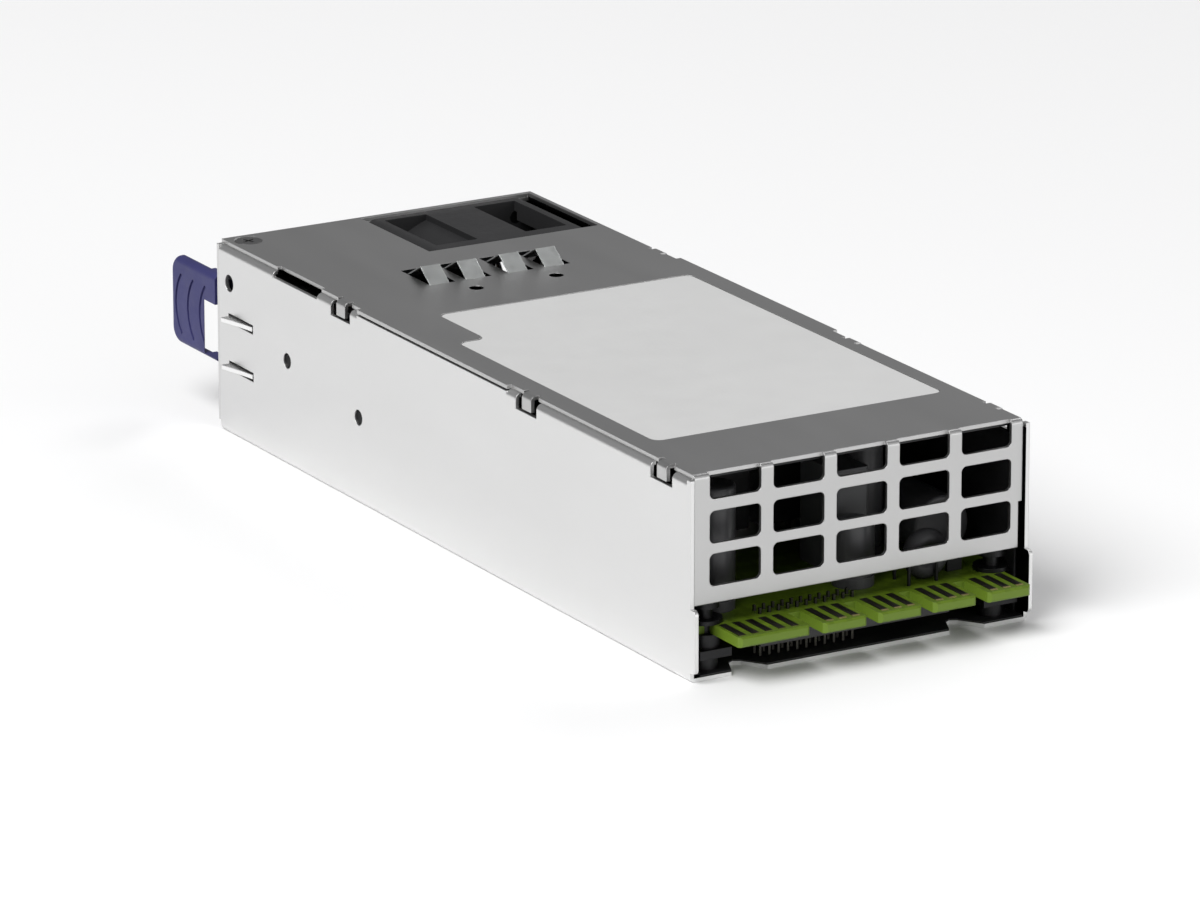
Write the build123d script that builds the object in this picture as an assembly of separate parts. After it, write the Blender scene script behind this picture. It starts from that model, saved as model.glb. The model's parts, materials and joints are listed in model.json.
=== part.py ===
"""Plug-in switching power supply module, millimetres.

Pieces are laid out with X across the case, Y from the output end (0) to the mains end,
and Z up from the underside. The finished part has its origin at the centre of the underside.
"""
from build123d import *
import math
import os

# Case
CASE_LENGTH = 185.5
CASE_WIDTH = 73.5
CASE_HEIGHT = 39.5
SHEET = 0.8
CASE_BEND = 1.0
SEAM = 0.35
LIP_WIDTH = 2.0
LIP_BEND = 1.3
CHEEK_REACH = 1.65
CHEEK_BOTTOM = 1.9
CHEEK_TOP = 14.2
CHEEK_RADIUS = 1.0
FLOOR_NOTCH_WIDTH = 7.8
FLOOR_NOTCH_DEPTH = 5.2
FLOOR_NOTCH_LEFT_INSET = 12.75
FLOOR_NOTCH_RIGHT_INSET = 13.35

# Cover
COVER_SETBACK = 0.6
COVER_BEND = 1.0
GRILLE_BOTTOM = 14.5
GRILLE_COLUMNS = 5
GRILLE_BAR = 2.62
GRILLE_LEFT_MARGIN = 3.26
GRILLE_RIGHT_MARGIN = 2.46
GRILLE_SILL = 3.2
GRILLE_ROW_BAR = 1.95
GRILLE_TOP_BAR = 2.25
GRILLE_TOP_DROP = 5.1
GRILLE_TOP_CUT = 1.1
GRILLE_CORNER = 1.1
GRILLE_STEP = 9.0
HOOK_WIDTH = 3.4
HOOK_DROP = 3.2
HOOK_NOTCH_WIDTH = 7.9
HOOK_NOTCH_DEPTH = 2.9
HOOK_RELIEF = 1.1
COVER_SIDE_INSET = 0.1
NEAR_HOOKS = (10.6, 60.5)
FAR_HOOK_FROM_REAR = 51.8
PLAIN_WALL_START = 68.0
PLAIN_WALL_FROM_REAR = 58.5
PLAIN_WALL_DROP = 0.4
TOP_SLOT_FROM_REAR = 42.1
TOP_SLOT_LENGTH = 18.4
TOP_SLOT_DEPTH = 0.9
TOP_SLOT_WALL_DROP = 1.2
REAR_TAB_WIDTH = 5.1
REAR_TAB_DROP = 2.6
REAR_TAB_INSET = 5.35
COVER_HOLE_RADIUS = 1.475
COVER_HOLE_FROM_REAR = 56.85
COVER_HOLE_SPACING = 18.1
COVER_SCREW_INSET = 5.05
COVER_SCREW_FROM_REAR = 4.0
COVER_SCREW_HEAD_RADIUS = 2.9
COVER_SCREW_HEAD_GAP = 0.14
COVER_SCREW_RADIUS = 1.5
COVER_SCREW_LENGTH = 3.0

# Label
LABEL_RECESS = 0.3
LABEL_THICKNESS = 0.15
LABEL_LEFT_INSET = 5.85
LABEL_RIGHT_INSET = 4.55
LABEL_NEAR = 22.7
LABEL_FROM_REAR = 69.5
LABEL_STEP_WIDTH = 6.1
LABEL_STEP_LENGTH = 18.8
LABEL_CORNER = 2.0
LABEL_GAP = 0.1

# Contact fingers on the cover
FINGER_STARTS = (-16.0, -7.85, 1.75, 10.05)
FINGER_WIDTH = 4.3
FINGER_SIDE_GAP = 0.15
FINGER_SLOT_WIDTH = 5.75
FINGER_FROM_REAR = 50.8
FINGER_RIDGE_PLACE = 4.3
FINGER_SLOT_LENGTH = 12.3
FINGER_RISE = 2.6
FINGER_THICKNESS = 0.25
FINGER_STRIP_MARGIN = 2.5

# Linings
LINING = 0.3
LID_LINING_GAP = 0.4
LINING_DROP = 4.0
LID_PAD_INSET = 13.6
LID_PAD_FROM_END = 12.0
LID_PAD_RADIUS = 3.0
LEFT_LINING_INSET = 1.35

# Main board and its edge contacts
BOARD_TOP = 10.0
BOARD_THICKNESS = 2.0
BOARD_SIDE_GAP = 2.4
BOARD_FRONT = 3.0
BOARD_FROM_REAR = 35.5
TAB_ROOT = 0.2
TAB_REACH = 8.5
SIGNAL_TAB_REACH = 7.9
TAB_CHAMFER = 0.7
TAB_BEVEL = 0.35
TAB_GAP = 2.55
TAB_RIGHT_INSET = 1.4
SIGNAL_TAB_WIDTH = 15.3
SIGNAL_TAB_INSET = 2.6
POWER_TABS = 4
CONTACT_WIDTH = 1.5
CONTACT_THICKNESS = 0.08
CONTACT_SETBACK = 1.2
CONTACT_END = 0.6
SIGNAL_CONTACTS = 5
POWER_CONTACTS = 3
SIGNAL_CONTACT_INSET = 0.6
POWER_CONTACT_INSET = 1.2
POWER_CONTACT_END = 1.04

# Board supports
SUPPORT_INSET = 2.35
SUPPORT_FRONT = 4.3
SUPPORT_FROM_BOARD_REAR = 5.0
SUPPORT_RADIUS = 2.5
SUPPORT_COLLAR = 7.4
SUPPORT_COLLAR_THICKNESS = 1.7
SUPPORT_COLLAR_BOTTOM = 3.7
SPACER_RADIUS = 2.9
BOARD_SCREW_RADIUS = 1.5
BOARD_SCREW_HEAD_RADIUS = 2.8
BOARD_SCREW_HEAD_HEIGHT = 2.2
BOARD_SCREW_NECK = 2.1
WASHER_RADIUS = 3.4
WASHER_THICKNESS = 0.8
WASHER_GAP = 0.3

# Two-row pin header under the board
HEADER_PITCH = 2.0
HEADER_COLUMNS = 11
HEADER_FRONT = 2.8
HEADER_FIRST_X = -20.2
HEADER_PIN = 0.5
HEADER_PIN_RISE = 1.1
HEADER_PIN_BOTTOM = 1.75
HEADER_BODY_WIDTH = 41.2
HEADER_BODY_BOTTOM = 3.8

# Rear panel
PANEL_FOOT = 8.0
PANEL_FOOT_WIDTH = 15.0
PANEL_BOTTOM = 1.0
PANEL_CORNER = 2.0
PANEL_EAR_INSET = 2.25
PANEL_EAR_WIDTH = 6.5
PANEL_EAR_DEPTH = 8.0

# Fan
FAN_DEPTH = 28.0
FAN_SIDE_GAP = 1.75
FAN_FLOOR_GAP = 0.1
FAN_TOP_RECESS = 0.6
FAN_CORNER = 3.0
FAN_CUTOUT_GAP = 0.5
DUCT_INSET = 1.4
DUCT_WALL = 1.0
FAN_NEAR_FLANGE = 4.6
FAN_FAR_FLANGE = 2.0
FAN_WINDOW_INNER = 5.55
FAN_WINDOW_INSET = 3.9
FAN_HOLE_INSET = 3.5
FAN_HOLE_RADIUS = 1.4
FAN_BASE_MARGIN = 0.3
FAN_BASE_THICKNESS = 2.2
FAN_STRUTS = 3
FAN_STRUT_WIDTH = 2.2
FAN_STRUT_DEPTH = 1.6
FAN_FLOW_WIDTH = 7.4
HUB_WALL = 0.9
HUB_FRONT = 3.0
HUB_LENGTH = 19.0
HUB_FACE = 1.2
BLADES = 7
BLADE_TIP_GAP = 0.5
BLADE_THICKNESS = 0.9
BLADE_TWIST = 38.0
BLADE_LENGTH = 14.0
MAGNET_THICKNESS = 1.0
MAGNET_LENGTH = 11.0
SHAFT_RADIUS = 1.5
SHAFT_RUNNING_GAP = 0.03
BEARING_WALL = 1.2
BEARING_LENGTH = 3.0
BEARING_TUBE_WALL = 0.8
STATOR_GAP = 0.7
STATOR_LENGTH = 8.0
STATOR_SLOTS = 4
STATOR_SLOT_WIDTH = 1.6
FAN_SCREW_HEAD_RADIUS = 2.4
FAN_SCREW_HEAD = 1.1
FAN_SCREW_LENGTH = 3.0
GUARD_WIRE = 0.75
GUARD_RING_COUNT = 3
GUARD_RING_PITCH = 4.5
GUARD_INSET = 3.6
FAN_LEAD_RADIUS = 0.9

# Mains inlet, long side upright
INLET_FAN_GAP = 1.0
INLET_LATCH_GAP = 0.55
INLET_EDGE_GAP = 4.25
INLET_DROP = 0.25
INLET_FLANGE = 1.8
INLET_SIDE_BORDER = 1.5
INLET_END_BORDER = 1.75
INLET_BODY_DEPTH = 20.0
INLET_SIDE_WALL = 2.0
INLET_END_WALL = 1.75
INLET_CAVITY_DEPTH = 17.0
INLET_CORNER = 3.5
INLET_PIN_WIDTH = 4.0
INLET_PIN_THICKNESS = 2.0
INLET_PIN_SPACING = 7.0
INLET_EARTH_OFFSET = 4.0
INLET_PIN_RECESS = 5.0
INLET_PIN_TAIL = 5.0
INLET_LEAD_RADIUS = 1.1
INLET_LEAD_SPREAD = 5.0
INLET_LEAD_RISE = 6.0
INLET_LEAD_FROM_BOARD_REAR = 3.5

# Status light
LIGHT_INSET = 5.25
LIGHT_DROP = 4.9
LIGHT_RADIUS = 1.5
LIGHT_HEAD_RADIUS = 1.9
LIGHT_HEAD = 0.7
LIGHT_LENGTH = 6.0

# Latch in the left wall
LATCH_HINGE_FROM_REAR = 26.5
LEAF_THICKNESS = 0.5
LEAF_WALL_GAP = 0.3
LEAF_BOTTOM = 12.9
LEAF_TOP = 25.9
LEAF_FROM_REAR = 65.5
LEAF_REAR_GAP = 2.5
LEAF_JOINT_GAP = 0.05
BARB_HEIGHTS = (14.45, 24.35)
BARB_THICKNESS = 0.9
BARB_FROM_REAR = 14.6
BARB_LENGTH = 9.5
BARB_PROUD = 1.95
BARB_SLOT_MARGIN = 0.5
RIVETS_FROM_REAR = ((58.9, 17.65), (29.5, 21.65))
RIVET_RADIUS = 1.5
RIVET_HOLE_GAP = 0.08
RIVET_RECESS = 0.3
RIVET_COLLAR_RADIUS = 2.3
RIVET_HEAD = 0.4
SPARE_HOLE_FROM_REAR = 5.14
SPARE_HOLE_DROP = 7.9
SPARE_HOLE_RADIUS = 1.75
GRIP_FACE_INSET = 0.35
GRIP_THICKNESS = 1.8
GRIP_REACH = 21.3
GRIP_BOTTOM = 13.1
GRIP_LIGHT_GAP = 1.6
GRIP_CORNER = 3.4
GRIP_TOP_ROUND = 1.4
GRIP_BEVEL = 1.85
GRIP_FACE_START = 1.8
GRIP_WINDOW_END = 6.6
GRIP_WINDOW_BOTTOM = 13.95
GRIP_WINDOW_TOP = 25.3
GRIP_CARRIER_FROM_REAR = 11.5
GRIP_CARRIER_WIDTH = 6.0
GRIP_CARRIER_THICKNESS = 1.5
GROOVES = 3
GROOVE_PITCH = 5.2
GROOVE_WIDTH = 0.75
GROOVE_DEPTH = 0.35
GROOVE_HEIGHT = 12.0
GROOVE_BOW = 2.3
GROOVE_FIRST = 2.35
GROOVE_DROP = 0.45
LATCH_SLOT_MARGIN = 0.6
LATCH_SLOT_WIDTH = 7.6

# Parts on the board
PART_GAP = 0.3
CAN_LIFT = 1.0
OUTPUT_CAP_RADIUS = 4.0
OUTPUT_CAP_DROP = 5.5
OUTPUT_CAP_COUNT = 3
OUTPUT_CAP_INSET = 7.95
OUTPUT_CAP_FIRST_Y = 10.3
OUTPUT_CAP_PITCH = 9.9
LONE_CAP_Y = 24.0
FILTER_CAP_X = 4.0
FILTER_CAP_Y = 9.3
FILTER_CAP_HEIGHT = 12.6
RING_INSET = 16.15
RING_Y = 5.3
RING_RADIUS = 3.1
RING_SECTION = 1.75
RING_LEAD = 0.35
RING_LEAD_HEIGHT = 4.0
RING_LEADS = ((-5.3, 7.6), (-5.1, 2.9), (1.0, 3.0))
INDUCTOR_Y = 14.5
INDUCTOR_WIDTH = 7.4
INDUCTOR_DEPTH = 13.0
INDUCTOR_DROP = 9.0
LYING_CAP_INSET = 2.35
LYING_CAP_Y = 12.0
LYING_CAP_RADIUS = 6.0
LYING_CAP_LENGTH = 20.0
CAP_CRIMP = 0.35
BUS_CLIP_INSET = 8.95
BUS_CLIP_Y = 6.4
BUS_CLIP_HEIGHT = 5.0
BUS_CLIP_WIDTH = 3.2
BUS_CLIP_FOLD = 3.5
RECTIFIER_SINK_Y = 42.0
RECTIFIER_SINK_INSET = 8.55
RECTIFIER_SINK_DROP = 5.5
SINK_THICKNESS = 2.5
SINK_FIN = 5.0
SINK_FIN_THICKNESS = 1.2
SINK_FINS = 6
PACKAGE_WIDTH = 10.0
PACKAGE_HEIGHT = 15.0
PACKAGE_THICKNESS = 4.5
PACKAGE_LIFT = 4.0
PACKAGE_LEG_PITCH = 2.54
PACKAGE_ROOM = 11.0
RECTIFIER_INSET = 12.0
LARGE_PART_INSET = 1.55
TRANSFORMER_WIDTH = 30.0
TRANSFORMER_DEPTH = 33.0
TRANSFORMER_DROP = 3.5
TRANSFORMER_LIMB = 6.0
WINDING_GAP = 0.4
CORE_GAP = 0.15
WINDING_OPENING = 40.0
BULK_CAP_Y = 58.0
BULK_CAP_DROP = 3.5
BULK_CAP_FROM_BOARD_REAR = 47.0
SWITCH_SINK_FROM_BOARD_REAR = 42.0
SWITCH_SINK_LEFT_ROOM = 30.55
SWITCH_SINK_INSET = 2.55
SWITCH_SINK_DROP = 4.5
PFC_FROM_BOARD_REAR = 27.5
PFC_DROP = 2.3
PFC_SECTION = 3.6
PFC_WIRE = 1.0
CHOKE_INSET = 0.95
CHOKE_FROM_BOARD_REAR = 32.0
CHOKE_RADIUS = 6.4
CHOKE_SECTION = 2.8
CHOKE_WIRE = 0.9
X_CAP_GAP = 1.9
X_CAP_FROM_BOARD_REAR = 33.5
X_CAP_WIDTH = 9.0
X_CAP_DEPTH = 18.0
X_CAP_HEIGHT = 17.0
BRIDGE_INSET = 7.05
BRIDGE_FROM_BOARD_REAR = 9.0
BRIDGE_WIDTH = 22.0
BRIDGE_HEIGHT = 15.0
BRIDGE_THICKNESS = 4.0
FUSE_INSET = 3.05
FUSE_FROM_BOARD_REAR = 25.5
FUSE_RADIUS = 2.6
FUSE_LENGTH = 10.0
FUSE_CAP = 2.5
FUSE_LIFT = 0.6
CARD_INSET = 16.55
CARD_Y = 27.0
CARD_THICKNESS = 1.2
CARD_LENGTH = 13.0
CARD_HEIGHT = 22.0
CHIP_SIZE = 7.0
CHIP_THICKNESS = 1.4
SOCKET_GAP = 1.5
SOCKET_FROM_BOARD_REAR = 9.0
SOCKET_WIDTH = 7.0
SOCKET_DEPTH = 7.0
SOCKET_HEIGHT = 5.0
SOCKET_WALL = 0.8
PLUG_GAP = 0.05

# Derived planes
LEFT_OUT = -CASE_WIDTH / 2
RIGHT_OUT = CASE_WIDTH / 2
LEFT_IN = LEFT_OUT + SHEET
RIGHT_IN = RIGHT_OUT - SHEET
FLOOR = SHEET
ROOF = CASE_HEIGHT - SHEET
REAR_IN = CASE_LENGTH - SHEET
COVER_EDGE = RIGHT_IN - SEAM
BOARD_BOTTOM = BOARD_TOP - BOARD_THICKNESS
BOARD_EDGE = RIGHT_IN - BOARD_SIDE_GAP
LINED_FLOOR = FLOOR + LINING
BOARD_REAR = CASE_LENGTH - BOARD_FROM_REAR
BOARD_ROOM = CASE_HEIGHT - BOARD_TOP
LINING_HEIGHT = CASE_HEIGHT - LINING_DROP
LINING_REAR = BOARD_REAR
BEYOND = 1.0

# Derived places on the case and the cover
FLOOR_NOTCH_CENTRES = (LEFT_OUT + FLOOR_NOTCH_LEFT_INSET, RIGHT_OUT - FLOOR_NOTCH_RIGHT_INSET)
GRILLE_BARS = GRILLE_LEFT_MARGIN + GRILLE_RIGHT_MARGIN + (GRILLE_COLUMNS - 1) * GRILLE_BAR
GRILLE_SLOT_WIDTH = (2 * COVER_EDGE - GRILLE_BARS) / GRILLE_COLUMNS
GRILLE_ROW_BOTTOM = GRILLE_BOTTOM + GRILLE_SILL
GRILLE_TOP_SLOT_BOTTOM = CASE_HEIGHT - GRILLE_TOP_DROP
GRILLE_ROWS_TOP = GRILLE_TOP_SLOT_BOTTOM - GRILLE_TOP_BAR
GRILLE_SLOT_HEIGHT = (GRILLE_ROWS_TOP - GRILLE_ROW_BOTTOM - GRILLE_ROW_BAR) / 2
HOOK_CENTRES = NEAR_HOOKS + (CASE_LENGTH - FAR_HOOK_FROM_REAR,)
TOP_SLOT_START = CASE_LENGTH - TOP_SLOT_FROM_REAR
TOP_SLOT_END = TOP_SLOT_START + TOP_SLOT_LENGTH
PLAIN_WALL_SPANS = (
    (PLAIN_WALL_START, CASE_LENGTH - PLAIN_WALL_FROM_REAR),
    (TOP_SLOT_START, TOP_SLOT_END),
)
COVER_HOLE_Y = CASE_LENGTH - COVER_HOLE_FROM_REAR
LABEL_LEFT = LEFT_OUT + LABEL_LEFT_INSET
LABEL_RIGHT = RIGHT_OUT - LABEL_RIGHT_INSET
LABEL_FAR = CASE_LENGTH - LABEL_FROM_REAR
FINGER_NEAR = CASE_LENGTH - FINGER_FROM_REAR
FINGER_RIDGE = FINGER_NEAR + FINGER_RIDGE_PLACE
FINGER_FAR = FINGER_NEAR + FINGER_SLOT_LENGTH
SPARE_HOLE_Y = CASE_LENGTH - SPARE_HOLE_FROM_REAR
SPARE_HOLE_Z = CASE_HEIGHT - SPARE_HOLE_DROP

# Derived board tabs and supports
TABS_LEFT = SIGNAL_TAB_INSET + SIGNAL_TAB_WIDTH
TAB_WIDTH = (2 * BOARD_EDGE - TABS_LEFT - TAB_RIGHT_INSET) / POWER_TABS - TAB_GAP
CONTACTS_WIDTH = TAB_WIDTH - POWER_CONTACT_INSET - POWER_CONTACT_END
CONTACT_PITCH = (CONTACTS_WIDTH - CONTACT_WIDTH) / (POWER_CONTACTS - 1)
SUPPORT_X = BOARD_EDGE - SUPPORT_INSET
SUPPORTS = [
    (x, y)
    for x in (-SUPPORT_X, SUPPORT_X)
    for y in (SUPPORT_FRONT, BOARD_REAR - SUPPORT_FROM_BOARD_REAR)
]

# Derived latch
LEAF_OUT = LEFT_IN + LEAF_WALL_GAP
LEAF_IN = LEAF_OUT + LEAF_THICKNESS
LEAF_MID = (LEAF_OUT + LEAF_IN) / 2
LATCH_HINGE_Y = CASE_LENGTH - LATCH_HINGE_FROM_REAR
LEAF_START = CASE_LENGTH - LEAF_FROM_REAR
LEAF_END = CASE_LENGTH - LEAF_REAR_GAP
BARB_START = CASE_LENGTH - BARB_FROM_REAR
BARB_END = BARB_START + BARB_LENGTH
RIVETS = [(CASE_LENGTH - from_rear, z) for from_rear, z in RIVETS_FROM_REAR]
GRIP_CARRIER_START = CASE_LENGTH - GRIP_CARRIER_FROM_REAR

# Derived fan
FAN_SIZE = CASE_HEIGHT - SHEET - FAN_FLOOR_GAP - FAN_TOP_RECESS
FAN_X = RIGHT_IN - FAN_SIDE_GAP - FAN_SIZE / 2
FAN_Z = FLOOR + FAN_FLOOR_GAP + FAN_SIZE / 2
FAN_NEAR = REAR_IN - FAN_DEPTH
DUCT_RADIUS = FAN_SIZE / 2 - DUCT_INSET
FAN_WINDOW_OUTER = FAN_SIZE / 2 - FAN_WINDOW_INSET
FAN_HOLE_PITCH = FAN_SIZE - 2 * FAN_HOLE_INSET
HUB_RADIUS = DUCT_RADIUS - FAN_FLOW_WIDTH
FAN_BASE_RADIUS = HUB_RADIUS + FAN_BASE_MARGIN
STATOR_RADIUS = HUB_RADIUS - HUB_WALL - MAGNET_THICKNESS - STATOR_GAP
GUARD_OUTER = DUCT_RADIUS - GUARD_INSET
GUARD_RINGS = [GUARD_OUTER - index * GUARD_RING_PITCH for index in range(GUARD_RING_COUNT)]

# Derived mains inlet, between the latch and the fan
INLET_RIGHT = FAN_X - FAN_SIZE / 2 - INLET_FAN_GAP
INLET_FLANGE_WIDTH = INLET_RIGHT - LEFT_IN - LATCH_SLOT_WIDTH - INLET_LATCH_GAP
INLET_FLANGE_HEIGHT = CASE_HEIGHT - 2 * INLET_EDGE_GAP
INLET_X = INLET_RIGHT - INLET_FLANGE_WIDTH / 2
INLET_Z = CASE_HEIGHT / 2 - INLET_DROP
INLET_BODY_WIDTH = INLET_FLANGE_WIDTH - 2 * INLET_SIDE_BORDER
INLET_BODY_HEIGHT = INLET_FLANGE_HEIGHT - 2 * INLET_END_BORDER
INLET_CAVITY_WIDTH = INLET_BODY_WIDTH - 2 * INLET_SIDE_WALL
INLET_CAVITY_HEIGHT = INLET_BODY_HEIGHT - 2 * INLET_END_WALL

# Derived rear panel
LIGHT_X = LEFT_OUT + LIGHT_INSET
LIGHT_Z = CASE_HEIGHT - LIGHT_DROP
PANEL_EAR_LEFT = LEFT_OUT + PANEL_EAR_INSET
GRIP_TOP = LIGHT_Z - LIGHT_RADIUS - GRIP_LIGHT_GAP

# Derived parts on the board
LYING_CAP_X = BOARD_EDGE - LYING_CAP_INSET - LYING_CAP_RADIUS
OUTPUT_CAP_HEIGHT = BOARD_ROOM - OUTPUT_CAP_DROP
LONE_CAP_X = LYING_CAP_X - LYING_CAP_RADIUS - PART_GAP - OUTPUT_CAP_RADIUS
OUTPUT_CAPS = [
    (OUTPUT_CAP_INSET - BOARD_EDGE, OUTPUT_CAP_FIRST_Y + index * OUTPUT_CAP_PITCH)
    for index in range(OUTPUT_CAP_COUNT)
] + [(LONE_CAP_X, LONE_CAP_Y)]
RING_X = BOARD_EDGE - RING_INSET
INDUCTOR_X = LONE_CAP_X - OUTPUT_CAP_RADIUS - PART_GAP - INDUCTOR_WIDTH
INDUCTOR_HEIGHT = BOARD_ROOM - INDUCTOR_DROP
BUS_CLIP_X = BOARD_EDGE - BUS_CLIP_INSET
RECTIFIER_SINK_WIDTH = 2 * (BOARD_EDGE - RECTIFIER_SINK_INSET)
RECTIFIER_SINK_HEIGHT = BOARD_ROOM - RECTIFIER_SINK_DROP
TRANSFORMER_X = BOARD_EDGE - LARGE_PART_INSET - TRANSFORMER_WIDTH
TRANSFORMER_HEIGHT = BOARD_ROOM - TRANSFORMER_DROP
BULK_CAP_RADIUS = (BOARD_ROOM - CAN_LIFT - BULK_CAP_DROP) / 2
BULK_CAP_X = LARGE_PART_INSET + BULK_CAP_RADIUS - BOARD_EDGE
BULK_CAP_LENGTH = BOARD_REAR - BULK_CAP_FROM_BOARD_REAR - BULK_CAP_Y
SWITCH_SINK_X = SWITCH_SINK_LEFT_ROOM - BOARD_EDGE
SWITCH_SINK_Y = BOARD_REAR - SWITCH_SINK_FROM_BOARD_REAR
SWITCH_SINK_WIDTH = BOARD_EDGE - SWITCH_SINK_INSET - SWITCH_SINK_X
SINK_GAP_START = RECTIFIER_SINK_Y + SINK_THICKNESS + SINK_FIN
SINK_GAP_END = SWITCH_SINK_Y - PACKAGE_THICKNESS
TRANSFORMER_Y = (SINK_GAP_START + SINK_GAP_END - TRANSFORMER_DEPTH) / 2
SWITCH_SINK_HEIGHT = BOARD_ROOM - SWITCH_SINK_DROP
PFC_OUTER = (BOARD_ROOM - PFC_DROP) / 2
PFC_RADIUS = PFC_OUTER - PFC_SECTION - PFC_WIRE
PFC_X = BOARD_EDGE - PFC_OUTER
PFC_Y = BOARD_REAR - PFC_FROM_BOARD_REAR
CHOKE_OUTER = CHOKE_RADIUS + CHOKE_SECTION + CHOKE_WIRE
CHOKE_X = CHOKE_INSET + CHOKE_OUTER - BOARD_EDGE
CHOKE_Y = BOARD_REAR - CHOKE_FROM_BOARD_REAR
X_CAP_X = CHOKE_X + CHOKE_OUTER + X_CAP_GAP
X_CAP_Y = BOARD_REAR - X_CAP_FROM_BOARD_REAR
BRIDGE_X = BOARD_EDGE - BRIDGE_INSET - BRIDGE_WIDTH
BRIDGE_Y = BOARD_REAR - BRIDGE_FROM_BOARD_REAR
SOCKET_X = BRIDGE_X - SOCKET_GAP - SOCKET_WIDTH
FUSE_X = FUSE_INSET - BOARD_EDGE
FUSE_Y = BOARD_REAR - FUSE_FROM_BOARD_REAR
CARD_X = CARD_INSET - BOARD_EDGE


def block(x0, x1, y0, y1, z0, z1):
    """Box between two corners."""
    centre = Pos((x0 + x1) / 2, (y0 + y1) / 2, (z0 + z1) / 2)
    return centre * Box(x1 - x0, y1 - y0, z1 - z0)


def post(x, y, z0, z1, radius):
    """Upright cylinder."""
    return Pos(x, y, (z0 + z1) / 2) * Cylinder(radius, z1 - z0)


def rod_along_y(x, z, y0, y1, radius):
    """Cylinder lying along the case."""
    return Pos(x, (y0 + y1) / 2, z) * Rot(90, 0, 0) * Cylinder(radius, y1 - y0)


def rod_along_x(y, z, x0, x1, radius):
    """Cylinder lying across the case."""
    return Pos((x0 + x1) / 2, y, z) * Rot(0, 90, 0) * Cylinder(radius, x1 - x0)


def rounded_plate(x0, x1, z0, z1, y0, y1, radius):
    """Upright plate with round corners, thickness along Y."""
    plate = block(x0, x1, y0, y1, z0, z1)
    return fillet(plate.edges().filter_by(Axis.Y), radius)


def plate_outline(points, z0, z1):
    """Flat plate from a closed outline of X, Y points."""
    face = make_face(Polyline(*points, close=True))
    return extrude(Pos(0, 0, z0) * face, z1 - z0)


def mirrored(shape):
    """The same shape on the other side of the case."""
    return mirror(shape, about=Plane.YZ)


def join(shapes):
    """One solid from touching shapes."""
    result = shapes[0]
    for shape in shapes[1:]:
        result = result + shape
    return result


def group(shapes):
    """Several separate solids in one node."""
    solids = []
    for shape in shapes:
        solids.extend(shape.solids())
    return Compound(children=solids)


# Case
def floor_notch(centre, z0, z1):
    """Hooked notch in the near edge of the floor."""
    left = centre - FLOOR_NOTCH_WIDTH / 2
    lean = FLOOR_NOTCH_WIDTH / 4
    crown = left + FLOOR_NOTCH_WIDTH * 0.42
    points = [
        (left, -BEYOND),
        (left, 0),
        (left + lean, FLOOR_NOTCH_DEPTH * 0.85),
        (crown, FLOOR_NOTCH_DEPTH),
        (left + FLOOR_NOTCH_WIDTH * 0.6, FLOOR_NOTCH_DEPTH * 0.85),
        (left + FLOOR_NOTCH_WIDTH, 0),
        (left + FLOOR_NOTCH_WIDTH, -BEYOND),
    ]
    return plate_outline(points, z0, z1)


def wall_lip(y0, y1):
    """Rounded lip that the left wall's top edge is bent into."""
    lip = block(LEFT_OUT, LEFT_OUT + LIP_WIDTH, y0, y1, ROOF - 2 * LIP_BEND, ROOF)
    lip = fillet(lip.edges().filter_by(Axis.Y).sort_by(Axis.X)[:2].sort_by(Axis.Z)[-1], LIP_BEND)
    return lip - block(LEFT_IN, RIGHT_IN, y0, y1, 0, ROOF - SHEET)


def lip_spans():
    """Stretches of the wall top that carry a lip."""
    spans = []
    start = COVER_SETBACK + SHEET
    for plain_start, plain_end in PLAIN_WALL_SPANS:
        spans.append((start, plain_start))
        start = plain_end
    spans.append((start, REAR_IN))
    return spans


def wall_top_cutters():
    """Cuts for the left hooks and the cover's edge, and the lowered stretch beside its side slot."""
    cutters = []
    for centre in HOOK_CENTRES:
        y0 = centre - HOOK_NOTCH_WIDTH / 2
        y1 = centre + HOOK_NOTCH_WIDTH / 2
        bottom = ROOF - HOOK_NOTCH_DEPTH
        cutters.append(block(LEFT_OUT - BEYOND, LEFT_OUT + LIP_WIDTH + BEYOND, y0, y1, bottom, CASE_HEIGHT))
    plain_start, plain_end = PLAIN_WALL_SPANS[0]
    plain_top = ROOF - PLAIN_WALL_DROP
    cutters.append(block(LEFT_OUT - BEYOND, LEFT_IN, plain_start, plain_end, plain_top, CASE_HEIGHT))
    wall_top = ROOF - TOP_SLOT_WALL_DROP
    return join(cutters), block(LEFT_OUT - BEYOND, LEFT_IN, TOP_SLOT_START, TOP_SLOT_END, wall_top, CASE_HEIGHT)


def cheek():
    """Forward nose at the bottom of the left wall's near edge."""
    nose = block(LEFT_OUT, LEFT_IN, -CHEEK_REACH, CASE_BEND, CHEEK_BOTTOM, CHEEK_TOP)
    return fillet(nose.edges().filter_by(Axis.X).sort_by(Axis.Y)[:2], CHEEK_RADIUS)


def barb_slot(height):
    """Slot in the left wall that a latch barb comes out of."""
    half = BARB_THICKNESS / 2 + BARB_SLOT_MARGIN
    y0 = BARB_START - BARB_SLOT_MARGIN
    y1 = BARB_END + BARB_SLOT_MARGIN
    return block(LEFT_OUT - BEYOND, LEFT_IN + BEYOND, y0, y1, height - half, height + half)


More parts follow.
